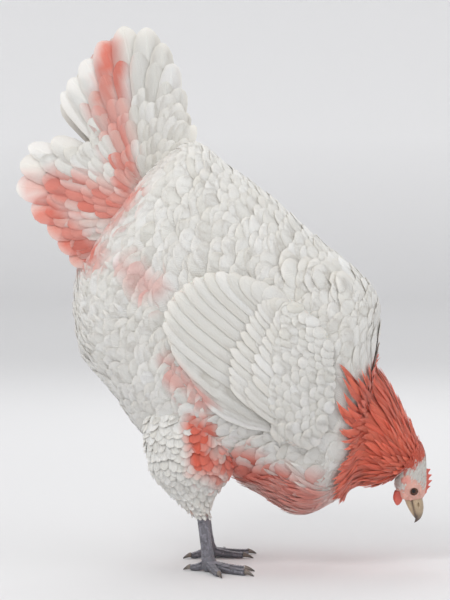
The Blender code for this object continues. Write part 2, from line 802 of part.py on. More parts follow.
def shoulder_plate(drape, side):
    """The smooth leading part of the wing, a low pillow."""
    rim = np.array(SHOULDER_RIM, dtype=float)
    middle = rim.mean(axis=0)
    middle[2] = SHOULDER_HEIGHT
    shares = (1.0, 0.86, 0.6, 0.3)
    points = [drape(x, z, -3.0, side) for x, z, _ in rim]
    for share in shares:
        for x, z, edge in rim:
            spot = middle[0:2] + (np.array((x, z)) - middle[0:2]) * share
            round_off = (1 - share**3) ** 0.6
            points.append(drape(*spot, edge * (1 - round_off) + SHOULDER_HEIGHT * round_off, side))
    points += [drape(*middle[0:2], SHOULDER_HEIGHT, side), drape(*middle[0:2], -3.0, side)]
    count, faces = len(rim), []
    for r in range(len(shares)):
        for i in range(count):
            j = (i + 1) % count
            faces.append((r * count + i, r * count + j, (r + 1) * count + j, (r + 1) * count + i))
    for i in range(count):
        j = (i + 1) % count
        faces.append((len(shares) * count + i, len(shares) * count + j, len(points) - 2))
        faces.append((i, j, len(points) - 1))
    return mesh_object("shoulder", points, faces, "plumage")


def wing(name, side, trunk):
    """A folded wing: primaries under secondaries under two tiers of coverts."""
    drape = drape_on(trunk)
    pieces = [shoulder_plate(drape, side)]
    for k in range(PRIMARIES):
        root = on_line(WING_FRONT, 0.0) + np.array((-18.0 + 6 * k, 6.0))
        tip = np.array(WING_REAR[0]) + np.array((9.0, -14.0)) * (PRIMARIES - k)
        pieces.append(wing_vane(drape, side, root, tip, 10, (2.0, 2.2), bow=-6))
    for k in range(SECONDARIES):
        share = k / (SECONDARIES - 1)
        root, tip = on_line(WING_FRONT, share), on_line(WING_REAR, share)
        pieces.append(wing_vane(drape, side, root, tip, WING_HALF_WIDTH, (1.5, 3.4), bow=-7 * (1 - share)))
    for count, reach, half_width, lifts in WING_COVERTS:
        for k in range(count):
            share = (k + 0.3) / (count - 0.4)
            root, tip = on_line(WING_FRONT, share), on_line(WING_REAR, share)
            tip = root + (tip - root) * reach
            pieces.append(wing_vane(drape, side, root, tip, half_width, lifts, profile=TAIL_VANE))
    return cut(fuse(name, pieces), inflated(trunk, GAP))


def tent(degrees, radius):
    """Half width of the tail's tent at a direction round the fan and a distance from its root."""
    share = (degrees - TAIL_SPREAD_FROM) / (TAIL_SPREAD_TO - TAIL_SPREAD_FROM)
    spread = math.sin(math.pi / 2 * min(max(share, 0), 1)) ** 1.3
    fluff = max(0, 1 - radius / 95) ** 1.2
    return 3.6 + TAIL_HALF_WIDTH * spread * min(1, 0.35 + radius / 160) + TAIL_FLUFF * (0.3 + spread) * fluff


def fan_point(degrees, radius, out):
    turn = math.radians(degrees)
    return np.array((TAIL_ROOT[0] + radius * math.cos(turn), out, TAIL_ROOT[1] + radius * math.sin(turn)))


def tail_vane(side, degrees, length, half_width):
    """A tail feather on one side of the tent. Its lower edge stands outside the next one."""

    def place(share, across, height):
        radius = TAIL_FEATHER_ROOT + (length - TAIL_FEATHER_ROOT) * share
        swing = math.degrees(math.atan2(across, radius))
        reach = math.hypot(radius, across)
        out = tent(degrees + swing, reach) - TAIL_CORE_DEPTH * 1.3 * max(0, 1 - share / 0.3)
        out += TAIL_SHINGLE / 2 * across / half_width + height - TAIL_THICKNESS
        return fan_point(degrees + swing, reach, side * out)

    return vane(place, half_width, TAIL_THICKNESS, TAIL_VANE, "plumage")


def tail(trunk):
    """Coverts and flight feathers of the tail, fanned on both sides of a steep tent."""
    directions = np.linspace(60, 222, 14)
    shares = (1.0, 0.7, 0.35, 0.05)
    points = []
    for side in (1, -1):
        for share in shares:
            radius = TAIL_CORE * share
            points += [fan_point(d, radius, side * (tent(d, radius) - TAIL_CORE_DEPTH * (1 + share) / 2))
                       for d in directions]
    count = len(directions)
    layer = count * len(shares)
    faces = []
    for base in (0, layer):
        for r in range(len(shares) - 1):
            for i in range(count - 1):
                a = base + r * count + i
                faces.append((a, a + 1, a + count + 1, a + count))
    for start, stop, step in ((0, count - 1, 1), (layer - count, layer - 1, 1),
                              (0, layer - count, count), (count - 1, layer - 1, count)):
        for a in range(start, stop, step):
            faces.append((a, a + step, layer + a + step, layer + a))
    pieces = [mesh_object("tail", points, faces, "plumage")]
    for degrees, length, half_width in TAIL_FEATHERS:
        for side in SIDES.values():
            pieces.append(tail_vane(side, degrees, length, half_width))
    return cut(fuse("tail", pieces), inflated(trunk, GAP))


def centre_on_ground():
    """Moves everything level, so that the middle of the outline is over the origin."""
    solids = [o for o in bpy.data.objects if o.type == "MESH"]
    spots = np.array([v.co for o in solids for v in o.data.vertices])
    middle = (spots.min(axis=0) + spots.max(axis=0)) / 2
    for solid in solids:
        solid.data.transform(Matrix.Translation((-middle[0], -middle[1], -spots[:, 2].min())))


def build():
    clear_scene()
    trunk = torso()
    neck(trunk)
    skull = head()
    for side_name, side in SIDES.items():
        eye_shape("eye_" + side_name, side, 0, 18, 8)
        wattle("wattle_" + side_name, side, skull)
        thigh("thigh_" + side_name, side, trunk)
        shank("shank_" + side_name, side)
        foot(side_name)
        wing("wing_" + side_name, side, trunk)
    bill()
    comb(skull)
    tail(trunk)
    centre_on_ground()


build()
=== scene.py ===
import math

import bmesh
import bpy
import numpy as np
from mathutils import Matrix, Vector
from mathutils.bvhtree import BVHTree


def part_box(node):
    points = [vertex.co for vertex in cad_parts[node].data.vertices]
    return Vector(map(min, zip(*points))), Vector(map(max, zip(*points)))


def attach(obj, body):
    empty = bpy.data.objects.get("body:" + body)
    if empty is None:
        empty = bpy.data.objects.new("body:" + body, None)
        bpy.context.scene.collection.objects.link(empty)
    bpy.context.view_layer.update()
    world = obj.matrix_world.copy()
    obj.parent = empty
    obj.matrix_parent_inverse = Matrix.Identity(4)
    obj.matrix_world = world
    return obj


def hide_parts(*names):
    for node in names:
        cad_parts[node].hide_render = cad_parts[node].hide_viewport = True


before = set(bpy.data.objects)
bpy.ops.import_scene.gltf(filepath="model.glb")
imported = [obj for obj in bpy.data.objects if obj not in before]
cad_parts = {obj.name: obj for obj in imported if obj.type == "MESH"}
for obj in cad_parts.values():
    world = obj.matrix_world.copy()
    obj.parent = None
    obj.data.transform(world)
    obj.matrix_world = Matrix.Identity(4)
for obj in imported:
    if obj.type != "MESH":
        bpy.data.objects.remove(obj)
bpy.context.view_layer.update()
scene = bpy.context.scene
mm = 0.001
sides = {"left": 1, "right": -1}  # +Y is the hen's own left

# The hen's outline as rings: back point x z, belly point x z, half width, all in mm. The first
# sixteen run from the rump to the nape, and the last five over the head to the bill.
bodyRings = np.array((
    (-107, 332, -134, 290, 21), (-101, 343, -140, 276, 36), (-71, 376, -142, 238, 62),
    (-31, 403, -134, 199, 80), (3, 381, -107, 165, 90), (43, 352, -81, 129, 96),
    (88, 312, -50, 106, 98), (126, 281, -12, 94, 94), (144, 259, 26, 74, 86),
    (148, 231, 69, 49, 74), (146, 212, 101, 57, 62), (141, 194, 121, 75, 51),
    (154, 177, 134, 75, 43), (168, 153, 146, 76, 35), (180, 129, 156, 80, 26),
    (189, 111, 164, 86, 18.5),
), dtype=float)
headRing = 15  # the last one of the neck

head = {
    "at": (177.5, 74.0),  # middle of the eyes, x and z
    "drop": math.radians(83.5),  # how far the bill points below level
    "rings": (  # crown along and up, throat along and up, half width
        (-22, 16.6, -8, -14.5, 16.8), (-11, 15.2, -3, -15.2, 16.2), (-1, 14.0, 2, -14.4, 14.8),
        (6, 12.2, 6.5, -11.8, 11.6), (11.3, 10.0, 11.0, -7.9, 8.4),
    ),
}
eyesMiddle = np.array((head["at"][0], 0, head["at"][1]))
forward = np.array((math.cos(head["drop"]), 0, -math.sin(head["drop"])))
crown = np.array((math.sin(head["drop"]), 0, math.cos(head["drop"])))
sideways = np.array((0, 1.0, 0))


def headPoint(along, up, out=0.0):
    # a point from the middle of the eyes, towards the bill, the crown and the left
    return eyesMiddle + along * forward + up * crown + out * sideways


def headAxes(side):
    return forward, crown, sideways * side


def fromEyes(points):
    # how far places lie ahead of the eyes and above them, along the head's own directions
    off = points - eyesMiddle
    return off @ forward, off @ crown


for crownAlong, crownUp, throatAlong, throatUp, halfWidth in head["rings"]:
    top, bottom = headPoint(crownAlong, crownUp), headPoint(throatAlong, throatUp)
    bodyRings = np.vstack((bodyRings, (top[0], top[2], bottom[0], bottom[2], halfWidth)))
lastRing = len(bodyRings) - 1

eye = {
    "at": (0.0, 1.0, 8.9), "radii": (6.9, 6.3, 6.0),
    "opening": (2.7, 1.1),  # middle of the gap between the lids, along and up
    "irisReach": 4.4,
    "lids": ((4.25, 4.05, 0.72, 0.15), (5.5, 5.2, 0.5, -0.1), (6.9, 6.4, 0.45, -0.2)),  # radii, tube, rise
}
low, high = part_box("eye_left")
shiftX = (low[0] + high[0]) / 2 / mm - headPoint(*eye["at"])[0]  # the solids are centred on the floor

camera = {
    "middle": (225, 300),  # pixel of the photograph that the camera looks at
    "mmPerPixel": 0.95,
    "floorPixel": 566,
    "originPixel": 225,
    "distance": 2600.0,
    "elevation": 2.6,
    "frameHeight": 600,
    "sensor": 36,
}


def pixelPoint(px, py):
    # a place in the photograph as x and z in mm
    scale = camera["mmPerPixel"]
    return (px - camera["originPixel"]) * scale, (camera["floorPixel"] - py) * scale


def addObject(name, data):
    obj = bpy.data.objects.new(name, data)
    scene.collection.objects.link(obj)
    return obj


def makeCamera():
    x, z = pixelPoint(*camera["middle"])
    data = bpy.data.cameras.new("camera")
    data.sensor_width = camera["sensor"]
    data.lens = camera["sensor"] * camera["distance"] / (camera["frameHeight"] * camera["mmPerPixel"])
    data.clip_start, data.clip_end = 0.1, 50
    obj = addObject("camera", data)
    rise = math.radians(camera["elevation"])
    back = Vector((0, -math.cos(rise), math.sin(rise)))
    obj.location = Vector((x + shiftX, 0, z)) * mm + back * camera["distance"] * mm
    obj.rotation_euler = (-back).to_track_quat("-Z", "Y").to_euler()
    scene.camera = obj


makeCamera()
print("camera set")


def ramp(value, start, width):
    # from 0 to 1 as a value goes from start over a width
    return np.clip((value - start) / width, 0, 1)


def mixed(base, colour, share):
    # one colour over another, by a share for each point
    share = np.reshape(share, (-1, 1))
    return np.asarray(base) * (1 - share) + np.asarray(colour) * share


def ringRows(at, rows=bodyRings):
    # smooth values between the rings, for an array of fractional ring numbers
    at = np.atleast_1d(np.asarray(at, dtype=float))
    last = len(rows) - 1
    low = np.clip(np.floor(at), 0, last - 1).astype(int)
    share = (at - low)[:, None]
    padded = np.vstack((2 * rows[0] - rows[1], rows, 2 * rows[-1] - rows[-2]))
    before, a, b, after = (padded[low + k] for k in range(4))
    return 0.5 * (2 * a + (b - before) * share + (2 * before - 5 * a + 4 * b - after) * share**2
                  + (3 * a - before - 3 * b + after) * share**3)


def onRing(rows, angle, inset=0.0):
    # points of rings at an angle from the left flank, inset square to the ring's two axes
    back, belly, half = rows[:, 0:2], rows[:, 2:4], rows[:, 4]
    up = (back - belly) / 2
    height = np.linalg.norm(up, axis=1)
    power = 2 / 2.25  # a little squarer than an ellipse
    rise = np.sign(np.sin(angle)) * np.abs(np.sin(angle)) ** power
    reach = np.sign(np.cos(angle)) * np.abs(np.cos(angle)) ** power
    flat = (back + belly) / 2 + up / height[:, None] * (rise * (height - inset))[:, None]
    return np.stack((flat[:, 0], reach * (half - inset) * (1 - 0.1 * rise), flat[:, 1]), axis=1)


def bodyPoint(at, angle, lift=0.0):
    # place and outward normal on the hen's outline, lifted square off it, all arrays
    at, angle, lift = np.broadcast_arrays(np.atleast_1d(at).astype(float), angle, lift)
    point = onRing(ringRows(at), angle)
    along = onRing(ringRows(at + 0.02), angle) - point
    around = onRing(ringRows(at), angle + 0.02) - point
    normal = np.cross(around, along)
    normal /= np.linalg.norm(normal, axis=1)[:, None] + 1e-9
    return point + lift[:, None] * normal, normal


def onMap(share):
    # a share from 0 to 1 as a place on the map, with a margin
    return 0.04 + 0.9 * np.asarray(share)


def bodyUv(at, angle):
    # where a place lies on an unwrap of the skin's own shape
    return np.stack((onMap(np.asarray(at) / lastRing), onMap(np.asarray(angle) / math.tau % 1)), axis=-1)


def flankUv(points):
    # the same unwrap for places given in mm, by the nearest ring and the angle round it
    at = np.linspace(0, lastRing, 160)
    rows = ringRows(at)
    middle = (rows[:, 0:2] + rows[:, 2:4]) / 2
    ring = np.argmin(np.linalg.norm(points[:, None, [0, 2]] - middle[None], axis=2), axis=1)
    return bodyUv(at[ring], np.arctan2(points[:, 2] - middle[ring, 1], points[:, 1]))


colours = {
    "white": (0.86, 0.83, 0.77),
    "rust": (0.76, 0.115, 0.065),
    "pink": (0.80, 0.33, 0.28),
    "underSkin": (0.72, 0.52, 0.45),
    "face": (0.74, 0.42, 0.35),
    "comb": (0.66, 0.15, 0.115),
    "lobe": (0.72, 0.33, 0.28),
    "legs": (0.17, 0.165, 0.19),
}
# Rust and pink markings as soft strokes in the side view: photograph pixels from and to, width
# in mm, strength, and how pink they are.
markings = (
    ((112, 48), (104, 95), 13, 0.85, 0.2), ((104, 95), (122, 140), 15, 0.75, 0.6),
    ((122, 140), (128, 195), 13, 0.8, 0.4), ((60, 190), (112, 205), 20, 0.85, 0.3),
    ((50, 215), (84, 250), 20, 0.9, 0.25), ((32, 178), (40, 205), 9, 0.5, 0.7),
    ((134, 266), (150, 286), 15, 0.55, 0.9), ((172, 357), (200, 388), 10, 0.7, 0.8),
    ((200, 422), (206, 455), 14, 1.0, 0.05), ((212, 458), (262, 472), 18, 0.95, 0.15),
    ((272, 486), (306, 500), 24, 1.0, 0.55), ((255, 470), (285, 482), 17, 0.95, 0.35),
)


def strokeGap(flat, a, b):
    # distance of places in the side view from a stroke between two of them
    share = np.clip(((flat - a) @ (b - a)) / ((b - a) @ (b - a)), 0, 1)
    return np.linalg.norm(flat - (a + share[:, None] * (b - a)), axis=1)


def markingAt(points):
    # strength of the markings, and their pinkness, at an array of places in mm
    strength, pink = np.zeros(len(points)), np.zeros(len(points))
    flat = points[:, [0, 2]]
    for start, stop, width, power, pinkness in markings:
        gap = strokeGap(flat, np.array(pixelPoint(*start)), np.array(pixelPoint(*stop)))
        here = power * np.clip(1.35 - gap / width, 0, 1)
        pink = np.where(here > strength, pinkness, pink)
        strength = np.maximum(strength, here)
    return strength, pink


def plumageTint(points, vary=0.0):
    # white to rust by place; vary lightens or darkens whole feathers and their markings
    strength, pink = markingAt(points)
    red = mixed(colours["rust"], colours["pink"], np.clip(pink + 2 * vary, 0, 1))
    white = np.array(colours["white"]) * (1 + np.reshape(vary, (-1, 1)) * np.array((0.4, 0.45, 0.6)))
    return mixed(white, red, np.clip(strength * (1 + 2.5 * vary), 0, 1))


def vaneTint(points, seed):
    # the same on every point of feathers x points x 3, each feather a little off its neighbours
    draw = np.random.default_rng(seed)
    count, each = points.shape[:2]
    moved = points + draw.normal(size=(count, 1, 3)) * 4.0
    vary = np.repeat(0.07 * draw.normal(size=count), each)
    return plumageTint(moved.reshape(-1, 3), vary)


def meshObject(name, points, faces, material=None, moved=True):
    # points in mm, in the order of the faces given
    mesh = bpy.data.meshes.new(name)
    points = np.asarray(points, dtype=float) * mm
    if moved:
        points[:, 0] += shiftX * mm
    mesh.from_pydata(points.tolist(), [], faces)
    mesh.update()
    if material:
        mesh.materials.append(material)
    mesh.shade_smooth()
    return addObject(name, mesh)


def turnOutwards(obj):
    shell = bmesh.new()
    shell.from_mesh(obj.data)
    bmesh.ops.recalc_face_normals(shell, faces=shell.faces)
    shell.to_mesh(obj.data)
    shell.free()
    return obj


def settle(obj):
    # puts the result of an object's modifiers in its mesh and drops them
    bpy.context.view_layer.update()
    graph = bpy.context.evaluated_depsgraph_get()
    mesh = bpy.data.meshes.new_from_object(obj.evaluated_get(graph), depsgraph=graph)
    obj.modifiers.clear()
    obj.data = mesh
    return obj


def loftMesh(rings, poles=(None, None)):
    # points and faces of a closed loft over rings of equal length
    count = len(rings[0])
    points = [p for ring in rings for p in ring]
    faces = []
    for r in range(len(rings) - 1):
        for i in range(count):
            j = (i + 1) % count
            faces.append([r * count + i, r * count + j, (r + 1) * count + j, (r + 1) * count + i])
    for start, pole, flip in ((0, poles[0], -1), ((len(rings) - 1) * count, poles[1], 1)):
        ring = list(range(start, start + count))[::flip]
        if pole is None:
            pole = np.mean([points[i] for i in ring], axis=0)
        points.append(pole)
        faces.extend([ring[i], ring[(i + 1) % count], len(points) - 1] for i in range(count))
    return points, faces


def loftObject(name, rings, material=None, poles=(None, None)):
    return turnOutwards(meshObject(name, *loftMesh(rings, poles), material))


def ellipsoid(name, centre, radii, axes, columns=24, rows=14, material=None):
    rings = []
    for r in range(1, rows):
        polar = math.pi * r / rows
        rings.append([
            centre + axes[0] * radii[0] * math.sin(polar) * math.cos(math.tau * c / columns)
            + axes[1] * radii[1] * math.sin(polar) * math.sin(math.tau * c / columns)
            + axes[2] * radii[2] * math.cos(polar)
            for c in range(columns)
        ])
    poles = (centre + axes[2] * radii[2], centre - axes[2] * radii[2])
    return loftObject(name, rings, material, poles)


def ringTube(name, centre, tubeRadius, columns=40, tubeSides=10):
    # a closed tube round a loop: centre(turn) gives a point and its outward and upward directions
    points, faces = [], []
    for c in range(columns):
        spot, out, up = centre(math.tau * c / columns)
        for t in range(tubeSides):
            roll = math.tau * t / tubeSides
            points.append(spot + tubeRadius * (math.cos(roll) * out + math.sin(roll) * up))
            d, u = (c + 1) % columns, (t + 1) % tubeSides
            faces.append([c * tubeSides + t, d * tubeSides + t, d * tubeSides + u, c * tubeSides + u])
    return turnOutwards(meshObject(name, points, faces))


def join(name, objs):
    # one object from several, their meshes merged as they are
    whole = bmesh.new()
    for obj in objs:
        whole.from_mesh(obj.data)
        bpy.data.objects.remove(obj)
    mesh = bpy.data.meshes.new(name)
    whole.to_mesh(mesh)
    whole.free()
    return addObject(name, mesh)


def boolean(obj, other, operation, solver="MANIFOLD"):
    part = obj.modifiers.new("part", "BOOLEAN")
    part.operation, part.object, part.solver = operation, other, solver
    settle(obj)
    bpy.data.objects.remove(other)
    return obj


def remesh(obj, size, smoothing):
    grid = obj.modifiers.new("grid", "REMESH")
    grid.mode, grid.voxel_size = "VOXEL", size * mm
    relax = obj.modifiers.new("relax", "SMOOTH")
    relax.factor, relax.iterations = 0.5, smoothing
    return settle(obj)


def meshPoints(mesh):
    # the points of a mesh in mm, in the hen's own frame
    points = np.empty(len(mesh.vertices) * 3)
    mesh.vertices.foreach_get("co", points)
    points = points.reshape(-1, 3) / mm
    points[:, 0] -= shiftX
    return points


def setColour(mesh, name, values):
    layer = mesh.color_attributes.new(name, "FLOAT_COLOR", "POINT")
    packed = np.ones((len(values), 4))
    packed[:, :3] = values
    layer.data.foreach_set("color", packed.ravel())


def setNumber(mesh, name, values):
    mesh.attributes.new(name, "FLOAT", "POINT").data.foreach_set("value", np.asarray(values, dtype=float))


def setVector(mesh, name, values):
    layer = mesh.attributes.new(name, "FLOAT_VECTOR", "POINT")
    layer.data.foreach_set("vector", np.asarray(values, dtype=float).ravel())


def setInputs(node, values):
    for name, value in values.items():
        node.inputs[name].default_value = value


def newMaterial(name, values):
    made = bpy.data.materials.new(name)
    made.use_nodes = True
    shader = made.node_tree.nodes["Principled BSDF"]
    setInputs(shader, values)
    return made, made.node_tree, shader


def addNode(tree, kind, **values):
    node = tree.nodes.new(kind)
    for key, value in values.items():
        setattr(node, key, value)
    return node


def mathNode(tree, operation, *values):
    # a number worked out from sockets and plain numbers
    node = addNode(tree, "ShaderNodeMath", operation=operation)
    for socket, value in zip(node.inputs, values):
        if isinstance(value, float):
            socket.default_value = value
        else:
            tree.links.new(value, socket)
    return node.outputs[0]


def attribute(tree, name, output="Fac"):
    return addNode(tree, "ShaderNodeAttribute", attribute_name=name).outputs[output]


def objectNoise(tree, scale, detail=4.0, roughness=0.55):
    place, grain = addNode(tree, "ShaderNodeTexCoord"), addNode(tree, "ShaderNodeTexNoise")
    setInputs(grain, {"Scale": scale, "Detail": detail, "Roughness": roughness})
    tree.links.new(place.outputs["Object"], grain.inputs["Vector"])
    return grain.outputs["Fac"]


def spread(tree, value, low, high):
    # a number from 0 to 1 stretched to another range
    node = addNode(tree, "ShaderNodeMapRange")
    setInputs(node, {"To Min": low, "To Max": high})
    tree.links.new(value, node.inputs["Value"])
    return node.outputs["Result"]


def addBump(tree, shader, height, strength, distance):
    node = addNode(tree, "ShaderNodeBump")
    setInputs(node, {"Strength": strength, "Distance": distance})
    tree.links.new(height, node.inputs["Height"])
    tree.links.new(node.outputs["Normal"], shader.inputs["Normal"])


def scaled(tree, colour, factor):
    # a colour made lighter or darker by a number
    node = addNode(tree, "ShaderNodeMix", data_type="RGBA", blend_type="MULTIPLY")
    node.inputs["Factor"].default_value = 1.0
    tree.links.new(colour, node.inputs["A"])
    tree.links.new(factor, node.inputs["B"])
    return node.outputs["Result"]


def paintWith(tree, shader, colour, grain, low, high):
    # the shader's colour, made uneven by a noise
    tree.links.new(scaled(tree, colour, spread(tree, grain, low, high)), shader.inputs["Base Color"])


def featherMaterial(name, roughness, sheen, barbs, shaftHeight):
    # colour from the feather with painted shade at its root, where the feathers above overlap it, and barbs
    # slanting off the shaft
    made, tree, shader = newMaterial(name, {
        "Roughness": roughness, "Sheen Weight": sheen, "Sheen Roughness": 0.4, "Specular IOR Level": 0.35,
        "Subsurface Weight": 0.35, "Subsurface Radius": (1.0, 0.85, 0.75), "Subsurface Scale": 0.004,
    })
    vane, axes = addNode(tree, "ShaderNodeUVMap", uv_map="vane"), addNode(tree, "ShaderNodeSeparateXYZ")
    tree.links.new(vane.outputs["UV"], axes.inputs["Vector"])
    off = mathNode(tree, "ABSOLUTE", mathNode(tree, "SUBTRACT", axes.outputs["X"], 0.5))
    slant = mathNode(tree, "MULTIPLY_ADD", off, -0.8, axes.outputs["Y"])
    wave = mathNode(tree, "SINE", mathNode(tree, "MULTIPLY", slant, barbs * math.tau))
    fine = mathNode(tree, "MULTIPLY_ADD", wave, 0.5, objectNoise(tree, 900.0, 2.0))
    shaft = addNode(tree, "ShaderNodeMapRange", interpolation_type="SMOOTHSTEP")
    setInputs(shaft, {"From Min": 0.0, "From Max": 0.06, "To Min": shaftHeight, "To Max": 0.0})
    tree.links.new(off, shaft.inputs["Value"])
    addBump(tree, shader, mathNode(tree, "ADD", fine, shaft.outputs["Result"]), 0.35, 0.0004)
    # painted shade: each feather darker towards its root and lighter at its tip
    paintedRootShade = spread(tree, attribute(tree, "along"), 0.86, 1.03)
    rootShadedTint = scaled(tree, attribute(tree, "tint", "Color"), paintedRootShade)
    paintWith(tree, shader, rootShadedTint, fine, 0.95, 1.03)
    return made


def skinMaterial():
    # bare skin, plumage skin and horny legs in one, told apart by the skin's own attributes
    made, tree, shader = newMaterial("skin", {
        "Roughness": 0.6, "Subsurface Weight": 0.2, "Subsurface Radius": (1.0, 0.35, 0.25),
        "Subsurface Scale": 0.003,
    })
    blotch, pebble = objectNoise(tree, 130.0), objectNoise(tree, 1400.0, 3.0, 0.6)
    blotched = scaled(tree, attribute(tree, "tint", "Color"), spread(tree, blotch, 0.8, 1.2))
    paintWith(tree, shader, blotched, pebble, 0.86, 1.12)
    tree.links.new(spread(tree, attribute(tree, "horny"), 0.55, 0.42), shader.inputs["Roughness"])
    folds = objectNoise(tree, 420.0, 3.0, 0.6)
    addBump(tree, shader, mathNode(tree, "MULTIPLY_ADD", pebble, 0.5, folds), 0.8, 0.0012)
    return made


def scaleMaterial():
    made, tree, shader = newMaterial("legScales", {
        "Roughness": 0.4, "Coat Weight": 0.15, "Coat Roughness": 0.3,
    })
    grain = objectNoise(tree, 600.0)
    paintWith(tree, shader, attribute(tree, "tint", "Color"), grain, 0.72, 1.3)
    tree.links.new(spread(tree, grain, 0.34, 0.55), shader.inputs["Roughness"])
    addBump(tree, shader, grain, 0.3, 0.0004)
    return made


def hornMaterial(name, pale, dark):
    # horn with growth lines, darker where the piece's own attribute says so
    made, tree, shader = newMaterial(name, {"Roughness": 0.36, "Coat Weight": 0.25, "Coat Roughness": 0.2})
    grain = objectNoise(tree, 420.0)
    mix = addNode(tree, "ShaderNodeMix", data_type="RGBA")
    setInputs(mix, {"A": (*pale, 1), "B": (*dark, 1)})
    tree.links.new(attribute(tree, "dark"), mix.inputs["Factor"])
    paintWith(tree, shader, mix.outputs["Result"], grain, 0.8, 1.2)
    tree.links.new(spread(tree, grain, 0.28, 0.48), shader.inputs["Roughness"])
    addBump(tree, shader, grain, 0.2, 0.0003)
    return made


def eyeMaterial():
    # black pupil, brown iris with fine rays, under a wet cornea
    made, tree, shader = newMaterial("eye", {
        "Roughness": 0.06, "Specular IOR Level": 0.3, "Coat Weight": 0.3, "Coat Roughness": 0.03,
    })
    pupil = (0.004, 0.003, 0.003)
    stops = ((0.0, pupil), (0.42, pupil), (0.47, (0.06, 0.02, 0.009)), (0.72, (0.11, 0.035, 0.014)),
             (0.86, (0.04, 0.014, 0.008)), (1.0, (0.02, 0.01, 0.008)))
    irisRamp = addNode(tree, "ShaderNodeValToRGB")
    for index, (place, colour) in enumerate(stops):
        stop = irisRamp.color_ramp.elements[index] if index < 2 else irisRamp.color_ramp.elements.new(place)
        stop.position, stop.color = place, (*colour, 1)
    tree.links.new(attribute(tree, "iris"), irisRamp.inputs["Fac"])
    paintWith(tree, shader, irisRamp.outputs["Color"], objectNoise(tree, 1800.0, 3.0), 0.7, 1.3)
    return made


plumage = featherMaterial("plumage", 0.72, 0.25, 22.0, 0.8)
flightPlumage = featherMaterial("flightPlumage", 0.6, 0.15, 60.0, 3.0)
hacklePlumage = featherMaterial("hacklePlumage", 0.42, 0.2, 24.0, 1.2)
down = featherMaterial("down", 0.85, 0.3, 12.0, 0.3)
skin = skinMaterial()
legScales = scaleMaterial()
billHorn = hornMaterial("billHorn", (0.55, 0.42, 0.27), (0.10, 0.07, 0.055))
clawHorn = hornMaterial("clawHorn", (0.22, 0.18, 0.15), (0.045, 0.038, 0.036))
eyeWet = eyeMaterial()
print("materials made")


# Outlines of vanes: share along from the root, and share of the half width there.
roundVane = ((0, 0.55), (0.25, 0.85), (0.5, 1.0), (0.72, 0.96), (0.87, 0.76), (0.96, 0.44))
broadVane = ((0, 0.3), (0.15, 0.55), (0.35, 0.85), (0.6, 1.0), (0.8, 0.97), (0.9, 0.82),
             (0.96, 0.56), (0.99, 0.28))
lanceVane = ((0, 0.45), (0.22, 0.85), (0.45, 1.0), (0.7, 0.72), (0.88, 0.36))
softVane = ((0, 0.7), (0.22, 0.95), (0.45, 1.0), (0.7, 0.85), (0.88, 0.55))
columns = np.array((-1.0, -0.7, -0.3, 0.0, 0.3, 0.7, 1.0))  # where the points of a row lie across it


def vanePattern(rows, cols):
    # faces of one closed vane, and the place of each of its points across and along it
    tip, below, last = rows * cols, rows * cols + 1, (rows - 1) * cols
    faces = []
    for r in range(rows - 1):
        first = r * cols
        faces += [[a, a + 1, a + cols + 1, a + cols] for a in range(first, first + cols - 1)]
        faces.append([first + cols, below + r + 1, below + r, first])
        faces.append([below + r + 1, first + 2 * cols - 1, first + cols - 1, below + r])
    faces += [[a, a + 1, tip] for a in range(last, last + cols - 1)]
    faces += [[last, tip, below + rows - 1], [last + cols - 1, below + rows - 1, tip]]
    faces += [[c + 1, c, below] for c in range(cols - 1)]
    places = [(c / (cols - 1), r / rows) for r in range(rows) for c in range(cols)] + [(0.5, 1.0)]
    return faces, np.array(places + [(0.5, r / rows) for r in range(rows)])


def featherMesh(name, vanes, uv, material, *nodes, tint=None, slotName="plumage"):
    # Closed vanes from arrays: their upper points as feathers x rows x columns x 3, the last row one
    # point at the tip, and points below the shaft as feathers x rows x 3. uv is where each root lies
    # on the skin's map. Without a tint the markings colour them.
    top, under = vanes
    count, rows, cols = top.shape[0], top.shape[1] - 1, top.shape[2]
    points = np.concatenate((
        top[:, :rows].reshape(count, rows * cols, 3), top[:, rows, cols // 2][:, None], under[:, :rows],
    ), axis=1)
    each = points.shape[1]
    pattern, places = vanePattern(rows, cols)
    loops = np.array([i for face in pattern for i in face])
    sizes = np.tile([len(face) for face in pattern], count)
    mesh = bpy.data.meshes.new(name)
    mesh.vertices.add(count * each)
    flat = points.reshape(-1, 3).copy()
    flat[:, 0] += shiftX
    mesh.vertices.foreach_set("co", (flat * mm).ravel())
    mesh.loops.add(len(loops) * count)
    mesh.loops.foreach_set("vertex_index", (loops + (np.arange(count) * each)[:, None]).ravel())
    mesh.polygons.add(len(sizes))
    mesh.polygons.foreach_set("loop_start", np.concatenate(((0,), np.cumsum(sizes)[:-1])))
    mesh.update(calc_edges=True)
    mesh.uv_layers.new(name="vane").data.foreach_set("uv", np.tile(places[loops], (count, 1)).ravel())
    patch = uv[:, None] + (places[loops] - 0.5) * 0.003  # each feather takes a small spot of the map
    mesh.uv_layers.new(name="OFBake").data.foreach_set("uv", patch.ravel())
    setColour(mesh, "tint", vaneTint(points, count) if tint is None else np.repeat(tint, each, axis=0))
    setNumber(mesh, "along", np.tile(places[:, 1], count))
    mesh.materials.append(material)
    mesh.shade_smooth()
    mesh.set_sharp_from_angle(angle=math.radians(50))  # so that the edge of a vane looks thin
    obj = addObject(name, mesh)
    if not facesOut(points[0], pattern):
        mesh.flip_normals()
    finishPiece(obj, nodes)


def facesOut(points, faces):
    # whether a closed pattern of faces encloses its inside the right way round
    total = 0.0
    for face in faces:
        for k in range(1, len(face) - 1):
            total += np.dot(points[face[0]], np.cross(points[face[k]], points[face[k + 1]]))
    return total > 0


def finishPiece(obj, nodes):
    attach(obj, "root")
    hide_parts(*nodes)


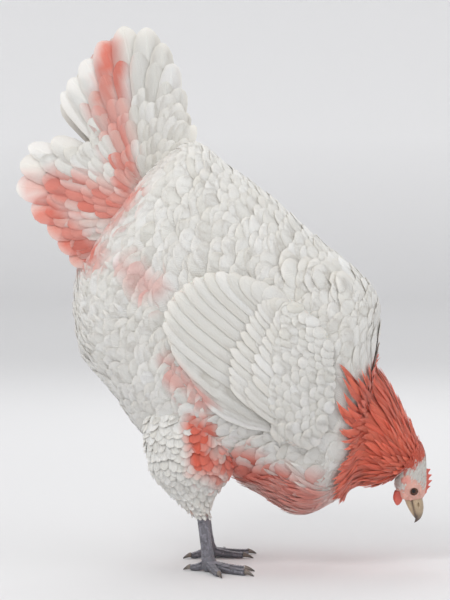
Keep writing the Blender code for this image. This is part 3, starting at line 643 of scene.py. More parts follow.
def unevenEdge(amount, rows, r, draw, count):
    # how far a row's points are off their place, as shares of the vane, too little to fold it over
    room = 0.42 * min(rows[r] - rows[max(r - 1, 0)], rows[min(r + 1, len(rows) - 1)] - rows[r])
    return np.clip(amount * draw.normal(size=(count, len(columns))), -room, room) * (rows[r] > 0.4)


def blankVanes(profile, count):
    # shares along and widths of a profile closed by its tip, and arrays for upper and lower points
    rows, widths = np.array(profile + ((1.0, 0.0),), dtype=float).T
    return rows, widths, np.zeros((count, len(rows), len(columns), 3)), np.zeros((count, len(rows), 3))


def layVanes(place, count, profile, ragged, draw):
    # Vanes row by row. place gives the points of one column from its place across, the row's width,
    # the share along, the same with an uneven edge, and whether they are the ones under the shaft.
    rows, widths, top, under = blankVanes(profile, count)
    for r, share in enumerate(rows):
        rough = unevenEdge(ragged, rows, r, draw, count)
        for c, u in enumerate(columns):
            top[:, r, c] = place(u, widths[r], share, share + rough[:, c] * (share < 1), False)
        under[:, r] = place(0.0, widths[r], share, share, True)
    return top, under


def gathered(parts):
    return [np.concatenate(arrays) for arrays in zip(*parts)]


def layFeathers(surface, at, angle, length, half, profile, settings, draw, direction=-1.0):
    # vanes that follow a surface from their roots, marching row by row
    count, step = len(at), 0.04
    rows, widths, top, under = blankVanes(profile, count)
    yaw = settings["yaw"] * draw.normal(size=count)
    lean = settings["shingle"] * draw.normal(size=count)
    tipLift = settings["tipLift"] * (1 + settings["unrest"] * draw.normal(size=count))
    here, turn = at.copy(), angle.copy()
    for r, share in enumerate(rows):
        spot, _ = surface(here, turn, 0.0)
        perRing = np.linalg.norm(surface(here + step, turn, 0.0)[0] - spot, axis=1) / step + 1e-6
        perTurn = np.linalg.norm(surface(here, turn + step, 0.0)[0] - spot, axis=1) / step + 1e-6
        lift = settings["rootLift"] + (tipLift - settings["rootLift"]) * share**1.3
        ragged = unevenEdge(settings["ragged"], rows, r, draw, count) * length[:, None]
        for c, u in enumerate(columns):
            across = u * half * widths[r]
            back = ragged[:, c] * (share < 1)
            placeAt = here - direction * (across * np.sin(yaw) - back) / perRing
            placeTurn = turn + across * np.cos(yaw) / perTurn
            height = lift - settings["arch"] * u * u * (0.4 + 0.6 * share) + lean * u
            top[:, r, c] = surface(placeAt, placeTurn, height)[0]
        under[:, r] = surface(here, turn, lift - settings["thick"])[0]
        if r + 1 < len(rows):
            onwards = (rows[r + 1] - share) * length
            here = here + direction * onwards * np.cos(yaw) / perRing
            turn = turn + onwards * np.sin(yaw) / perTurn
    return top, under


def scatter(surface, first, last, gap, across, draw):
    # staggered roots over a surface between two rings, a gap apart along and across
    step, around, uneven = 0.05, 48, 0.25
    turns = np.linspace(0, math.tau, around, endpoint=False)
    at, angle, row, here, travelled = [], [], 0, float(first), gap
    while here < last:
        ring, _ = surface(np.full(around, here), turns, 0.0)
        ahead, _ = surface(np.full(around, here + step), turns, 0.0)
        if travelled >= gap:
            travelled = 0.0
            edges = np.linalg.norm(np.roll(ring, -1, axis=0) - ring, axis=1)
            lengths = np.concatenate(((0,), np.cumsum(edges)))
            number = max(5, round(lengths[-1] / across))
            spots = np.arange(number) + 0.5 * (row % 2) + uneven * draw.normal(size=number) * 0.5
            spots = spots / number % 1
            angle.append(np.interp(spots * lengths[-1], lengths, np.linspace(0, math.tau, around + 1)))
            at.append(here + uneven * gap * draw.normal(size=number) * 0.02)
            row += 1
        travelled += float(np.mean(np.linalg.norm(ahead - ring, axis=1)))
        here += step
    return np.concatenate(at), np.concatenate(angle)


def wrapAngle(angle):
    # the same angle between minus and plus half a turn, with 0 on the left flank
    return (angle + math.pi) % math.tau - math.pi


wing = {
    # x and z of the lines that the feathers run from and to
    "front": ((70, 132), (80, 152), (82, 185), (78, 216), (62, 242)),
    "rear": ((-48, 216), (-56, 238), (-50, 258), (-33, 274), (-12, 281), (12, 277), (36, 266)),
    # round the smooth shoulder: x, z and height above the flank
    "rim": ((48, 146, 4), (50, 129, 5), (62, 121, 5.5), (76, 118, 5), (90, 126, 3), (98, 145, 1),
            (101, 172, 0.5), (101, 200, 0.5), (98, 222, 0.5), (86, 240, 1), (66, 254, 2), (50, 257, 3),
            (46, 230, 4), (43, 190, 4)),
    "shoulder": 9.5,
}
wingOutline = np.array((
    (101, 172), (101, 200), (98, 222), (86, 240), (66, 256), (36, 268), (12, 279), (-12, 283), (-33, 276),
    (-50, 260), (-58, 238), (-48, 214), (-10, 190), (30, 156), (50, 128), (64, 119), (78, 117), (92, 127),
), dtype=float)


def insidePolygon(flat, outline):
    inside = np.zeros(len(flat), dtype=bool)
    for a, b in zip(outline, np.roll(outline, -1, axis=0)):
        crosses = (a[1] > flat[:, 1]) != (b[1] > flat[:, 1])
        edge = a[0] + (flat[:, 1] - a[1]) / (b[1] - a[1] + 1e-9) * (b[0] - a[0])
        inside ^= crosses & (flat[:, 0] < edge)
    return inside


gridStep = 3.0


def flankGrid():
    # half width of the trunk over a grid of the side view, in mm
    turns = np.linspace(0, math.tau, 96, endpoint=False)
    rings = [onRing(ringRows(np.full(96, at)), turns) for at in np.linspace(0, 13, 130)]
    points, faces = loftMesh(rings)
    tree = BVHTree.FromPolygons([tuple(p) for p in points], faces)
    xs, zs = np.arange(-150, 161, gridStep), np.arange(60, 401, gridStep)
    grid = np.zeros((len(xs), len(zs)))
    for i, x in enumerate(xs):
        for j, z in enumerate(zs):
            hit = tree.ray_cast(Vector((x, 300, z)), Vector((0, -1, 0)))[0]
            grid[i, j] = hit[1] if hit else 0
    return xs, zs, grid


gridX, gridZ, flankY = flankGrid()


def flankWidth(x, z):
    i = np.clip((x - gridX[0]) / gridStep, 0, len(gridX) - 1.001)
    j = np.clip((z - gridZ[0]) / gridStep, 0, len(gridZ) - 1.001)
    a, b = i.astype(int), j.astype(int)
    u, v = i - a, j - b
    return (flankY[a, b] * (1 - u) * (1 - v) + flankY[a + 1, b] * u * (1 - v)
            + flankY[a, b + 1] * (1 - u) * v + flankY[a + 1, b + 1] * u * v)


def drape(x, z, lift, side):
    # a point of the side view laid on the flank, lifted square off it
    y = flankWidth(x, z)
    gap = 6.0
    slopeX = (flankWidth(x + gap, z) - flankWidth(x - gap, z)) / (2 * gap)
    slopeZ = (flankWidth(x, z + gap) - flankWidth(x, z - gap)) / (2 * gap)
    normal = np.stack((-slopeX, np.ones_like(slopeX), -slopeZ), axis=-1)
    normal /= np.linalg.norm(normal, axis=-1)[..., None]
    spot = np.stack((x, y, z), axis=-1) + np.asarray(lift)[..., None] * normal
    return spot * np.array((1, side, 1))


def pillow(x, z):
    # height of the smooth shoulder of the wing above the flank
    rim = np.array(wing["rim"], dtype=float)
    middle = rim[:, :2].mean(axis=0)
    rimTurn = np.arctan2(rim[:, 1] - middle[1], rim[:, 0] - middle[0])
    order = np.argsort(rimTurn)
    rimReach = np.linalg.norm(rim[:, :2] - middle, axis=1)
    turn = np.arctan2(z - middle[1], x - middle[0])
    reach = np.interp(turn, rimTurn[order], rimReach[order], period=math.tau)
    edge = np.interp(turn, rimTurn[order], rim[order, 2], period=math.tau)
    share = np.clip(np.hypot(x - middle[0], z - middle[1]) / reach, 0, 1)
    dome = (1 - share**3) ** 0.6
    return edge * (1 - dome) + wing["shoulder"] * dome


def onLine(points, share):
    rows = np.array(points, dtype=float)
    return ringRows(share * (len(rows) - 1), rows)


def layOnFlank(root, tip, half, lifts, bow, profile, side, draw, settings, overShoulder=False):
    # vanes of the folded wing from arrays of root and tip in the side view
    count, along = len(root), tip - root
    up = np.stack((along[:, 1], -along[:, 0]), axis=1) / np.linalg.norm(along, axis=1)[:, None]
    up = np.where(up[:, 1:2] > 0, up, -up)
    unrest = 1 + settings["unrest"] * draw.normal(size=count)

    def place(u, width, share, part, below):
        across = u * half * width + bow * 4 * share * (1 - share)
        x, z = (root + along * np.reshape(part, (-1, 1)) + up * np.reshape(across, (-1, 1))).T
        lift = lifts[0] + (lifts[1] - lifts[0]) * share * unrest
        lift = lift - settings["shingle"] * u * width - settings["arch"] * u * u
        if overShoulder:
            lift = lift + pillow(x, z)
        return drape(x, z, lift - settings["thick"] * below, side)

    return layVanes(place, count, profile, settings["ragged"], draw)


legs = {
    "out": 47,  # of each leg from the middle plane
    "shankTop": (-20.5, 52), "shankFoot": (-16, 14), "shankRadius": 5.0,
    "toes": (("hind", 168, 19), ("inner", -38, 33), ("middle", 0, 43), ("outer", 37, 36)),
    "toeRadius": 4.0, "toeTaper": 0.27, "toeRise": 3.3,
    "turnedOut": {"left": math.radians(30), "right": math.radians(38)},
}
thighRows = np.array((  # x, z, half length, half width, distance from the middle plane
    (-22, 190, 42, 26, 52), (-30, 140, 46, 33, 50), (-32, 108, 42, 34, 48), (-31, 90, 37, 31, 47),
    (-30.5, 76, 25, 21, 47), (-27, 62, 15, 14, 47), (-21, 49.5, 7.4, 7.4, 47),
), dtype=float)


def thighPoint(side):
    # the surface of one drumstick as a function like bodyPoint, from the belly down to the hock
    def surface(at, angle, lift=0.0):
        at, angle, lift = np.broadcast_arrays(np.atleast_1d(at).astype(float), angle, lift)
        x, z, long, wide, out = ringRows(at, thighRows).T
        spot = np.stack((x + long * np.cos(angle), side * out + wide * np.sin(angle), z), axis=1)
        normal = np.stack((np.cos(angle) * wide, np.sin(angle) * long, -0.25 * wide * (at > 2.5)), axis=1)
        normal /= np.linalg.norm(normal, axis=1)[:, None]
        return spot + lift[:, None] * normal, normal
    return surface


def legPoint(sideName, x, z=0.0):
    return np.array((x, sides[sideName] * legs["out"], z))


def toeDirection(sideName, angle):
    yaw = sides[sideName] * (legs["turnedOut"][sideName] + math.radians(angle))
    return np.array((math.cos(yaw), math.sin(yaw), 0))


def toeHeight(radius, share):
    # of the middle of a toe, which rises towards the pad
    return radius + legs["toeRise"] * (1 - share) ** 2 - 0.5


def tubeObject(name, stations, sidesRound, floor=None):
    # a closed tube through stations of centre, sideways and upright radius, kept above a level
    rings = []
    for i, (centre, wide, tall) in enumerate(stations):
        ahead = stations[min(i + 1, len(stations) - 1)][0] - stations[max(i - 1, 0)][0]
        ahead = ahead / np.linalg.norm(ahead)
        aside = np.cross((0, 0, 1), ahead) if abs(ahead[2]) < 0.8 else np.cross((1, 0, 0), ahead)
        aside = aside / np.linalg.norm(aside)
        over = np.cross(ahead, aside)
        ring = []
        for c in range(sidesRound):
            angle = math.tau * (c + 0.5) / sidesRound
            p = centre + aside * wide * math.cos(angle) + over * tall * math.sin(angle)
            if floor is not None:
                p[2] = max(p[2], floor)
            ring.append(p)
        rings.append(ring)
    return loftObject(name, rings)


def legSkin(sideName):
    # shank, pad and toes with soft joints, to be remeshed as one
    top, foot = legPoint(sideName, *legs["shankTop"]), legPoint(sideName, *legs["shankFoot"])
    hub = legPoint(sideName, legs["shankFoot"][0] + 1)
    stations = []
    for share in np.linspace(0, 1, 16):
        swell = 1.2 * math.exp(-((share - 0.02) / 0.12) ** 2)  # at the hock, and then at the foot
        swell = swell + 0.9 * math.exp(-((share - 0.95) / 0.15) ** 2)
        radius = legs["shankRadius"] + swell
        stations.append((top + (foot - top) * share, radius * 0.86, radius))
    pad = [(foot, 5.4, 5.6), (hub + (0, 0, 10), 6.4, 6.8), (hub + (0.5, 0, 5), 6.6, 7.0),
           (hub + (0.5, 0, 1), 5.4, 5.8)]
    made = [tubeObject("shank", stations, 28), tubeObject("pad", pad, 24, 0.35)]
    for _, angle, length in legs["toes"]:
        ahead = toeDirection(sideName, angle)
        stations = []
        joints = 2 if length < 20 else 3
        for share in np.linspace(0, 1, 26):
            knuckle = 0.35 * math.cos(math.tau * joints * share)
            radius = legs["toeRadius"] * (1 - legs["toeTaper"] * share) + knuckle * (1 - 0.4 * share)
            if share > 0.94:
                radius *= 0.86
            spot = hub + ahead * (2 + (length - 2.2) * share) + (0, 0, toeHeight(radius, share))
            stations.append((spot, radius * 0.95, radius))
        made.append(tubeObject("toe", stations, 20, 0.3))
    return remesh(join("leg", made), 0.62, 3)


def eyeCentre(side):
    return headPoint(eye["at"][0], eye["at"][1], side * eye["at"][2])


def crownLine(along):
    rings = np.array(head["rings"])
    return float(np.interp(along, rings[:, 0], rings[:, 1]))


comb = {"length": 27.0, "points": 5, "height": 6.4, "base": 2.7, "thick": 3.8}


def combMesh():
    # a low single comb with rounded points, thicker at its foot
    steps, levels = 60, 7
    rings = []
    for s in range(steps + 1):
        share = s / steps
        along = -0.6 * comb["length"] + comb["length"] * share
        wave = 0.5 - 0.5 * math.cos(math.tau * comb["points"] * share)
        swell = math.sin(math.pi * min(1, 0.12 + 0.88 * share)) ** 0.6
        low = crownLine(along) - 2.6
        high = crownLine(along) + swell * (comb["base"] + (comb["height"] - comb["base"]) * wave**1.5)
        wobble = 0.5 * math.sin(9 * share)
        left, right = [], []
        for k in range(levels):
            t = k / (levels - 1)
            half = comb["thick"] / 2 * (1.25 - 0.85 * t) * (1 if k < levels - 1 else 0.55)
            lean, up = along - 1.8 * wave * t, low + (high - low) * t
            left.append(headPoint(lean, up, half + wobble * t))
            right.append(headPoint(lean, up, -half + wobble * t))
        rings.append(left + right[::-1])
    return loftObject("comb", rings)


wattle = {"at": (1.0, -12.2, 6.6), "drop": 13.2, "half": 4.5, "thick": 1.45, "fold": 0.8}


def wattleMesh(side):
    # a small wattle with a soft fold and a round lower edge
    along, up, out = wattle["at"]
    top = headPoint(along, up, side * out)
    rings = []
    for share in np.linspace(0, 1, 22):
        rounded = (1 - share**4) ** 0.5 * 0.94 + 0.06
        wide = wattle["half"] * (0.55 + 0.45 * math.sin(math.pi * (0.15 + 0.75 * share))) * rounded
        thick = wattle["thick"] * (0.75 + 0.4 * share) * (1 - share**6 * 0.5)
        ring = []
        for c in range(26):
            turn = math.tau * c / 26
            fold = wattle["fold"] * math.sin(math.tau * share) * math.cos(turn)
            fold = fold + 0.25 * math.cos(3 * turn) * share
            ring.append(top + np.array((
                wide * math.cos(turn) - 1.5 * share, side * (thick * math.sin(turn) + fold),
                -1.0 - wattle["drop"] * share,
            )))
        rings.append(ring)
    return loftObject("wattle", rings)


faceForms = {  # place ahead of the eyes, above them and out from the middle, and radii
    "lobe": ((-8.6, -5.2, 14.6), (2.9, 4.6, 1.8)),
    "gape": ((8.4, -2.4, 8.3), (3.5, 1.4, 1.6)),
    "cheek": ((3.5, -7.5, 9.6), (6.5, 4.2, 3.2)),
    "brow": ((-1.0, 7.6, 9.4), (8.5, 2.2, 3.0)),
}


def headSkin():
    # skull, lids, ear lobes, gape folds, comb and wattles, remeshed as one closed skin
    turns = np.linspace(0, math.tau, 72, endpoint=False)
    rings = []
    for at in np.linspace(headRing - 0.5, lastRing, 46):
        inset = float(np.interp(at, (14.5, 15.1, 15.9), (5.5, 2.4, 0.15)))
        rings.append(onRing(ringRows(np.full(72, at)), turns, inset))
    made = [loftObject("skull", rings), combMesh()]
    tree = BVHTree.FromPolygons(*loftMesh(rings))

    def lidLine(side, long, tall, rise):
        # a loop round the eye on the surface of the skull
        def centre(turn):
            along, up = eye["opening"]
            spot = headPoint(along + long * math.cos(turn), up + tall * math.sin(turn))
            hit = tree.ray_cast(Vector((spot[0], 60 * side, spot[2])), Vector((0, -side, 0)))[0]
            out = math.cos(turn) * forward + math.sin(turn) * crown
            return spot + sideways * (hit[1] + side * rise), out, side * sideways
        return centre

    for side in sides.values():
        for long, tall, tube, rise in eye["lids"]:
            made.append(ringTube("lid", lidLine(side, long, tall, rise), tube, 48, 10))
        for form, ((along, up, out), radii) in faceForms.items():
            made.append(ellipsoid(form, headPoint(along, up, side * out), radii, headAxes(side)))
        made.append(wattleMesh(side))
    skull = remesh(join("headSkin", made), 0.42, 3)
    for side in sides.values():
        radii = [r + 0.25 for r in eye["radii"]]
        boolean(skull, ellipsoid("socket", eyeCentre(side), radii, headAxes(side), 48, 24), "DIFFERENCE")
    return skull


def trunkSkin():
    # trunk and neck under their feathers, by the depth of the coat at each ring
    turns = np.linspace(0, math.tau, 56, endpoint=False)
    depth = ((0, 6.5, 8.2, 10.4, 11.2, 14, 15.3), (5.6, 5.6, 10.5, 10.5, 7.5, 4.5, 2.2))
    places = np.concatenate((np.linspace(0.15, 14.9, 92), (15.1, 15.3)))
    rings = [onRing(ringRows(np.full(56, at)), turns, float(np.interp(at, *depth))) for at in places]
    return loftObject("trunk", rings)


def thighSkin(side):
    surface = thighPoint(side)
    turns = np.linspace(0, math.tau, 40, endpoint=False)
    depth = ((0, 4, 5.2, 6), (-6, -5, -2.5, -1.0))
    rings = [surface(np.full(40, at), turns, float(np.interp(at, *depth)))[0]
             for at in np.linspace(0.2, 6, 30)]
    return loftObject("thigh", rings)


def skinTint(points):
    # colours of the skin by place, and the share of horn, which is on the legs alone
    x, out, z = points[:, 0], np.abs(points[:, 1]), points[:, 2]
    along, up = fromEyes(points)
    strength, pink = markingAt(points)
    base = mixed(colours["underSkin"], mixed(colours["rust"], colours["pink"], pink), 0.6 * strength)
    onNeck = ramp(x, 118, 25) * ramp(z, 105, 15) * ramp(-z, -240, 20)
    base = mixed(base, mixed(colours["rust"], colours["underSkin"], 0.3), onNeck)
    onFace = ramp(along, -24, 6) * (x > 120) * (z < 125)
    base = mixed(base, colours["face"], onFace)
    crownHeight = np.interp(along, *np.array(head["rings"])[:, :2].T)
    onComb = onFace * ramp(up, crownHeight, 1.2) * (out < 4)
    onWattle = onFace * ramp(-up, 9.5, 1.5) * (z < 71.5) * (out > 3.6) * (out < 9.8)
    base = mixed(base, colours["comb"], np.clip(onComb + onWattle, 0, 1))
    long, tall = eye["lids"][0][:2]
    fromLid = np.hypot((along - eye["opening"][0]) / long, (up - eye["opening"][1]) / tall)
    rim = np.clip(1.25 - np.abs(fromLid - 0.84) * 7, 0, 1) * onFace * (out > 8)
    base = base * (1 - 0.6 * rim[:, None])
    lobeAlong, lobeUp, _ = faceForms["lobe"][0]
    onLobe = onFace * np.clip(2.6 - 2.4 * np.hypot((along - lobeAlong) / 3.6, (up - lobeUp) / 5.4), 0, 1)
    base = mixed(base, colours["lobe"], onLobe)
    onLeg = ramp(-z, -55, 4) * (x < 60)
    # painted shade on the legs: darker near the floor, lighter up the shank
    return mixed(base, np.array(colours["legs"]) * (0.85 + 0.3 * ramp(z, 0, 50))[:, None], onLeg), onLeg


def skinPiece():
    whole = trunkSkin()
    whole.name = "skin"
    for part in (headSkin(), thighSkin(1), thighSkin(-1), legSkin("left"), legSkin("right")):
        boolean(whole, part, "UNION")
    mesh = whole.data
    tint, horny = skinTint(meshPoints(mesh))
    setColour(mesh, "tint", tint)
    setNumber(mesh, "horny", horny)
    mesh.materials.clear()
    mesh.materials.append(skin)
    mesh.polygons.foreach_set("material_index", np.zeros(len(mesh.polygons), dtype=int))
    mesh.shade_smooth()
    finishPiece(whole, (
        "torso", "neck", "head", "comb", "wattle_left", "wattle_right", "thigh_left", "thigh_right",
        "shank_left", "shank_right", "foot_left", "foot_right",
    ))


skinPiece()
print("skin made")


coat = {
    "gap": 9.3, "across": 10.2, "length": (36, 47), "half": (12.2, 15.4),
    # how a feather lies, in mm where it is a height: turned and tilted at random, its root and tip
    # above the surface, how unlike its neighbours, its edge, its bend across and its thickness
    "lie": {"yaw": 0.11, "shingle": 0.22, "rootLift": -3.3, "tipLift": 0.75, "unrest": 0.28,
            "ragged": 0.026, "arch": 0.35, "thick": 0.3},
    # the edge of the cape in pixels of the photograph, and how far its feathers stand off
    "capeEdge": ((279, 258), (310, 266), (330, 272), (337, 290)), "capeLift": 3.2,
    "seed": 11,
}


def toRump(spot, angle):
    # how far places of the trunk are from its rear end
    return np.linalg.norm(spot - bodyPoint(np.zeros(len(angle)), angle)[0], axis=1)


def trunkCoat():
    draw = np.random.default_rng(coat["seed"])
    at, angle = scatter(bodyPoint, 0.35, 11.6, coat["gap"], coat["across"], draw)
    spot, tipSpot = bodyPoint(at, angle)[0], bodyPoint(at - 0.6, angle)[0]
    hidden = insidePolygon(spot[:, [0, 2]], wingOutline) & insidePolygon(tipSpot[:, [0, 2]], wingOutline)
    keep = ~(hidden & (np.abs(spot[:, 1]) > 40))
    at, angle, spot = at[keep], angle[keep], spot[keep]
    count = len(at)
    length = draw.uniform(*coat["length"], count)
    half = draw.uniform(*coat["half"], count)
    belly = np.clip(1 - np.abs(np.degrees(wrapAngle(angle + math.pi / 2))) / 60, 0, 1)
    length = length * (1 + 0.2 * belly * (at < 5)) * np.where(at > 11, 0.75, 1.0)
    length = np.minimum(length, toRump(spot, angle) + 9)
    half = half * np.where(at > 11, 0.75, 1.0) * np.clip(length / 30, 0.5, 1)

    def lay(lie):
        again = np.random.default_rng(coat["seed"] + 1)  # the same draws each time it is laid
        return layFeathers(bodyPoint, at, angle, length, half, roundVane, lie, again)

    # the row over the shoulder stands off a little, where the picture marks the edge of the cape
    tips = lay(coat["lie"])[0][:, -1, 3]
    edge = np.array([pixelPoint(*p) for p in coat["capeEdge"]])
    near = np.min([strokeGap(tips[:, [0, 2]], a, b) for a, b in zip(edge, edge[1:])], axis=0)
    raised = coat["capeLift"] * np.clip(1.4 - near / 7, 0, 1) * (np.abs(tips[:, 1]) > 30)
    # and where the hackle covers them they lie deeper, all but on the nape
    covered = np.interp(np.degrees(np.arcsin(np.sin(angle))), (30, 50), (1, 0))
    sunk = covered * np.interp(at, (8.8, 9.8, 10.6), (0, 0.9, 2.6))
    top, under = lay(dict(coat["lie"], tipLift=coat["lie"]["tipLift"] + raised - sunk))
    degrees = np.degrees(wrapAngle(angle))
    groups = {"coatBack": (degrees > 40) & (degrees < 140), "coatLeft": np.abs(degrees) <= 40,
              "coatRight": np.abs(degrees) >= 140, "coatBelly": (degrees < -40) & (degrees > -140)}
    for name, chosen in groups.items():
        featherMesh(name, (top[chosen], under[chosen]), bodyUv(at, angle)[chosen], plumage, "torso")


downLayer = {"gap": 13.0, "across": 14.0, "length": (32, 38), "half": (15, 18),
             "lie": dict(coat["lie"], rootLift=-5.0, tipLift=-1.5, unrest=0.2, arch=0.3)}


def downCoat():
    # broad soft feathers close to the skin, which close the gaps between the outer ones
    draw = np.random.default_rng(coat["seed"] + 12)
    at, angle = scatter(bodyPoint, 0.3, 10.6, downLayer["gap"], downLayer["across"], draw)
    reach = toRump(bodyPoint(at, angle)[0], angle) + 4
    length = np.minimum(draw.uniform(*downLayer["length"], len(at)), reach)
    half = draw.uniform(*downLayer["half"], len(at)) * np.clip(length / 30, 0.5, 1)
    vanes = layFeathers(bodyPoint, at, angle, length, half, roundVane, downLayer["lie"], draw)
    featherMesh("coatDown", vanes, bodyUv(at, angle), down, "torso")


thighLayer = {"gap": 6.5, "across": 8.0, "length": (20, 27), "half": (6.5, 8.5), "lowest": 43,
              "lie": dict(coat["lie"], tipLift=1.2, rootLift=-3.0, arch=0.9)}


def thighCoat():
    for name, side in sides.items():
        draw = np.random.default_rng(coat["seed"] + 3 + side)
        surface = thighPoint(side)
        at, angle = scatter(surface, 0.1, 5.7, thighLayer["gap"], thighLayer["across"], draw)
        fine = np.interp(at, (0, 3, 5.7), (1.0, 0.8, 0.32))
        length = draw.uniform(*thighLayer["length"], len(at)) * fine
        half = draw.uniform(*thighLayer["half"], len(at)) * fine
        vanes = layFeathers(surface, at, angle, length, half, roundVane, thighLayer["lie"], draw, 1.0)
        for points in vanes:
            points[..., 2] = np.maximum(points[..., 2], thighLayer["lowest"])
        uv = np.stack((onMap(at / 6), onMap(angle / math.tau % 1)), axis=1)
        featherMesh("coatThigh_" + name, vanes, uv, plumage, "thigh_" + name)


looseLayer = {
    "front": 420, "frontLength": (32, 44), "rear": 420, "rearLength": (22, 32), "half": (2.6, 4.4),
    "lie": dict(coat["lie"], tipLift=1.7, rootLift=-2.0, yaw=0.2, ragged=0.03, unrest=0.4, arch=0.2),
}


def breastTuft():
    # longer loose feathers that hang in a step under the breast, and soft ones at the vent
    draw = np.random.default_rng(31)
    front, rear = looseLayer["front"], looseLayer["rear"]
    count = front + rear
    at = np.concatenate((draw.uniform(8.4, 9.7, front), draw.uniform(0.9, 3.6, rear)))
    angle = -math.pi / 2 + draw.normal(size=count) * np.repeat((0.42, 0.55), (front, rear))
    onBreast = at > 6
    length = np.where(onBreast, draw.uniform(*looseLayer["frontLength"], count),
                      draw.uniform(*looseLayer["rearLength"], count))
    half = draw.uniform(*looseLayer["half"], count)
    fromBelly = np.clip(np.abs(wrapAngle(angle + math.pi / 2)) * 1.1, 0, math.pi / 2)
    length = length * (0.75 + 0.25 * (np.where(onBreast, 1.0, 0.6) * np.cos(fromBelly)))
    vanes = layFeathers(bodyPoint, at, angle, length, half, lanceVane, looseLayer["lie"], draw)
    featherMesh("coatLoose", vanes, bodyUv(at, angle), down, "torso")


trunkCoat()
downCoat()
thighCoat()
breastTuft()
print("coat laid")


hackle = {
    "gap": 6.2, "across": 5.4, "upperGap": 3.4, "upperAcross": 3.6, "seed": 41,
    "golden": (0.05, 0.035, 0.02),  # added to single feathers
    # how far the cape reaches past the root of the neck, by degrees above the flank's middle
    "reach": ((-90, 12), (-60, 20), (-42, 28), (-29, 35), (-18, 25), (-10, 19), (-5, 26), (0, 49),
              (4, 51), (9, 30), (13, 12), (15, 12), (17, 54), (21, 56), (25, 44), (30, 35), (45, 24),
              (60, 16), (90, 11)),
    "lie": {"yaw": 0.07, "shingle": 0.5, "rootLift": -3.0, "tipLift": 2.8, "unrest": 0.4, "ragged": 0.01,
            "arch": 0.5, "thick": 0.4},
}


def hackleCoat():
    draw = np.random.default_rng(hackle["seed"])
    at, angle = gathered((scatter(bodyPoint, 11.4, 14.1, hackle["gap"], hackle["across"], draw),
                          scatter(bodyPoint, 14.1, 15.9, hackle["upperGap"], hackle["upperAcross"], draw)))
    count = len(at)
    half = np.interp(at, (11.4, 14, 15.9), (5.2, 3.4, 1.7)) * draw.uniform(0.85, 1.15, count)
    folded = np.degrees(np.arcsin(np.sin(angle)))
    edge = np.interp(folded, *np.array(hackle["reach"], dtype=float).T)
    start, base = bodyPoint(at, angle)[0], bodyPoint(np.full(count, 11.0), angle)[0]
    toEdge = np.linalg.norm(start - base, axis=1) * np.sign(at - 11) + edge
    length = np.minimum(np.maximum(toEdge, 14), np.interp(at, (11.4, 13.5, 14.6, 15.9), (70, 46, 26, 9)))
    length = length * draw.uniform(0.9, 1.05, count)
    small = np.interp(at, (11.4, 13, 14, 15.9), (1.0, 0.6, 0.45, 0.17))
    sunk = np.interp(at, (14, 15.9), (1.0, 0.35))
    lie = dict(hackle["lie"])
    for key, share in (("tipLift", small), ("rootLift", sunk), ("arch", sunk)):
        lie[key] = lie[key] * share
    vanes = layFeathers(bodyPoint, at, angle, length, half, lanceVane, lie, draw)
    vary = draw.normal(size=(count, 1))
    tint = np.array(colours["rust"]) * (1 + 0.16 * vary)
    tint = np.clip(tint + np.array(hackle["golden"]) * draw.random((count, 1)), 0, 1)
    featherMesh("hackleCoat", vanes, bodyUv(at, angle), hacklePlumage, "neck", "torso", tint=tint,
                slotName="hackle")


headFeathers = {
    "gap": 1.35, "across": 1.7, "length": (4.8, 6.6), "half": (1.4, 1.9), "bristles": 0.3,
    "lie": {"yaw": 0.16, "shingle": 0.12, "rootLift": -0.35, "tipLift": 0.65, "unrest": 0.35,
            "ragged": 0.02, "arch": 0.25, "thick": 0.25},
}


def headCoat():
    # short close feathers on crown, nape, cheeks and throat; the face round the eye stays bare
    draw = np.random.default_rng(47)
    at, angle = scatter(bodyPoint, 15.0, 18.7, headFeathers["gap"], headFeathers["across"], draw)
    spot, _ = bodyPoint(at, angle)
    along, up = fromEyes(spot)
    out = np.abs(spot[:, 1])
    bare = (np.hypot(along - 1.6, (up - 0.5) * 1.05) < 8.4 + 0.8 * draw.normal(size=len(at))) & (out > 5)
    lobe = (np.hypot((along + 7.6) / 5.2, (up + 5.2) / 5.4) < 1) & (out > 8)
    underComb = (out < 2.4) & (up > 0) & (along > -17)
    chin = (up < -8) & (along > 1)
    # a few bristles stand on the bare face, none on the lids
    lids = np.hypot(along - eye["opening"][0], up - eye["opening"][1]) < 5.4
    bristle = bare & ~lids & (draw.random(len(at)) < headFeathers["bristles"])
    keep = ~(bare & ~bristle | lobe | underComb | chin)
    at, angle, along, up, bristle = (v[keep] for v in (at, angle, along, up, bristle))
    size = np.interp(along, (-30, -12, 8), (1.5, 1.0, 0.55)) * np.where(bristle, 0.42, 1.0)
    length = draw.uniform(*headFeathers["length"], len(at)) * size
    half = draw.uniform(*headFeathers["half"], len(at)) * size
    vanes = layFeathers(bodyPoint, at, angle, length, half, lanceVane, headFeathers["lie"], draw)
    edge = 12.5 + 0.5 * np.clip(up, 0, 18)  # how far behind the eye the hackle's red begins
    rusty = ramp(-along + 1.8 * draw.normal(size=len(at)), edge, 4)
    white = np.array(colours["white"]) * (1 + 0.04 * draw.normal(size=(len(at), 1)))
    tint = mixed(white, colours["rust"], rusty)
    featherMesh("headCoat", vanes, bodyUv(at, angle), plumage, "head", "neck", tint=tint)


hackleCoat()
headCoat()
print("hackle laid")


wingLie = {"shingle": 1.2, "arch": 0.15, "unrest": 0.1, "ragged": 0.006, "thick": 0.5}
wingTiers = (  # feathers, length as a share of the wing, half width, lift of root and tip
    (15, 0.58, 7.5, (2.6, 5.0)),
    (15, 0.42, 7.5, (3.4, 6.4)),
)
lesserLie = dict(wingLie, shingle=0.35, arch=0.3, unrest=0.3)


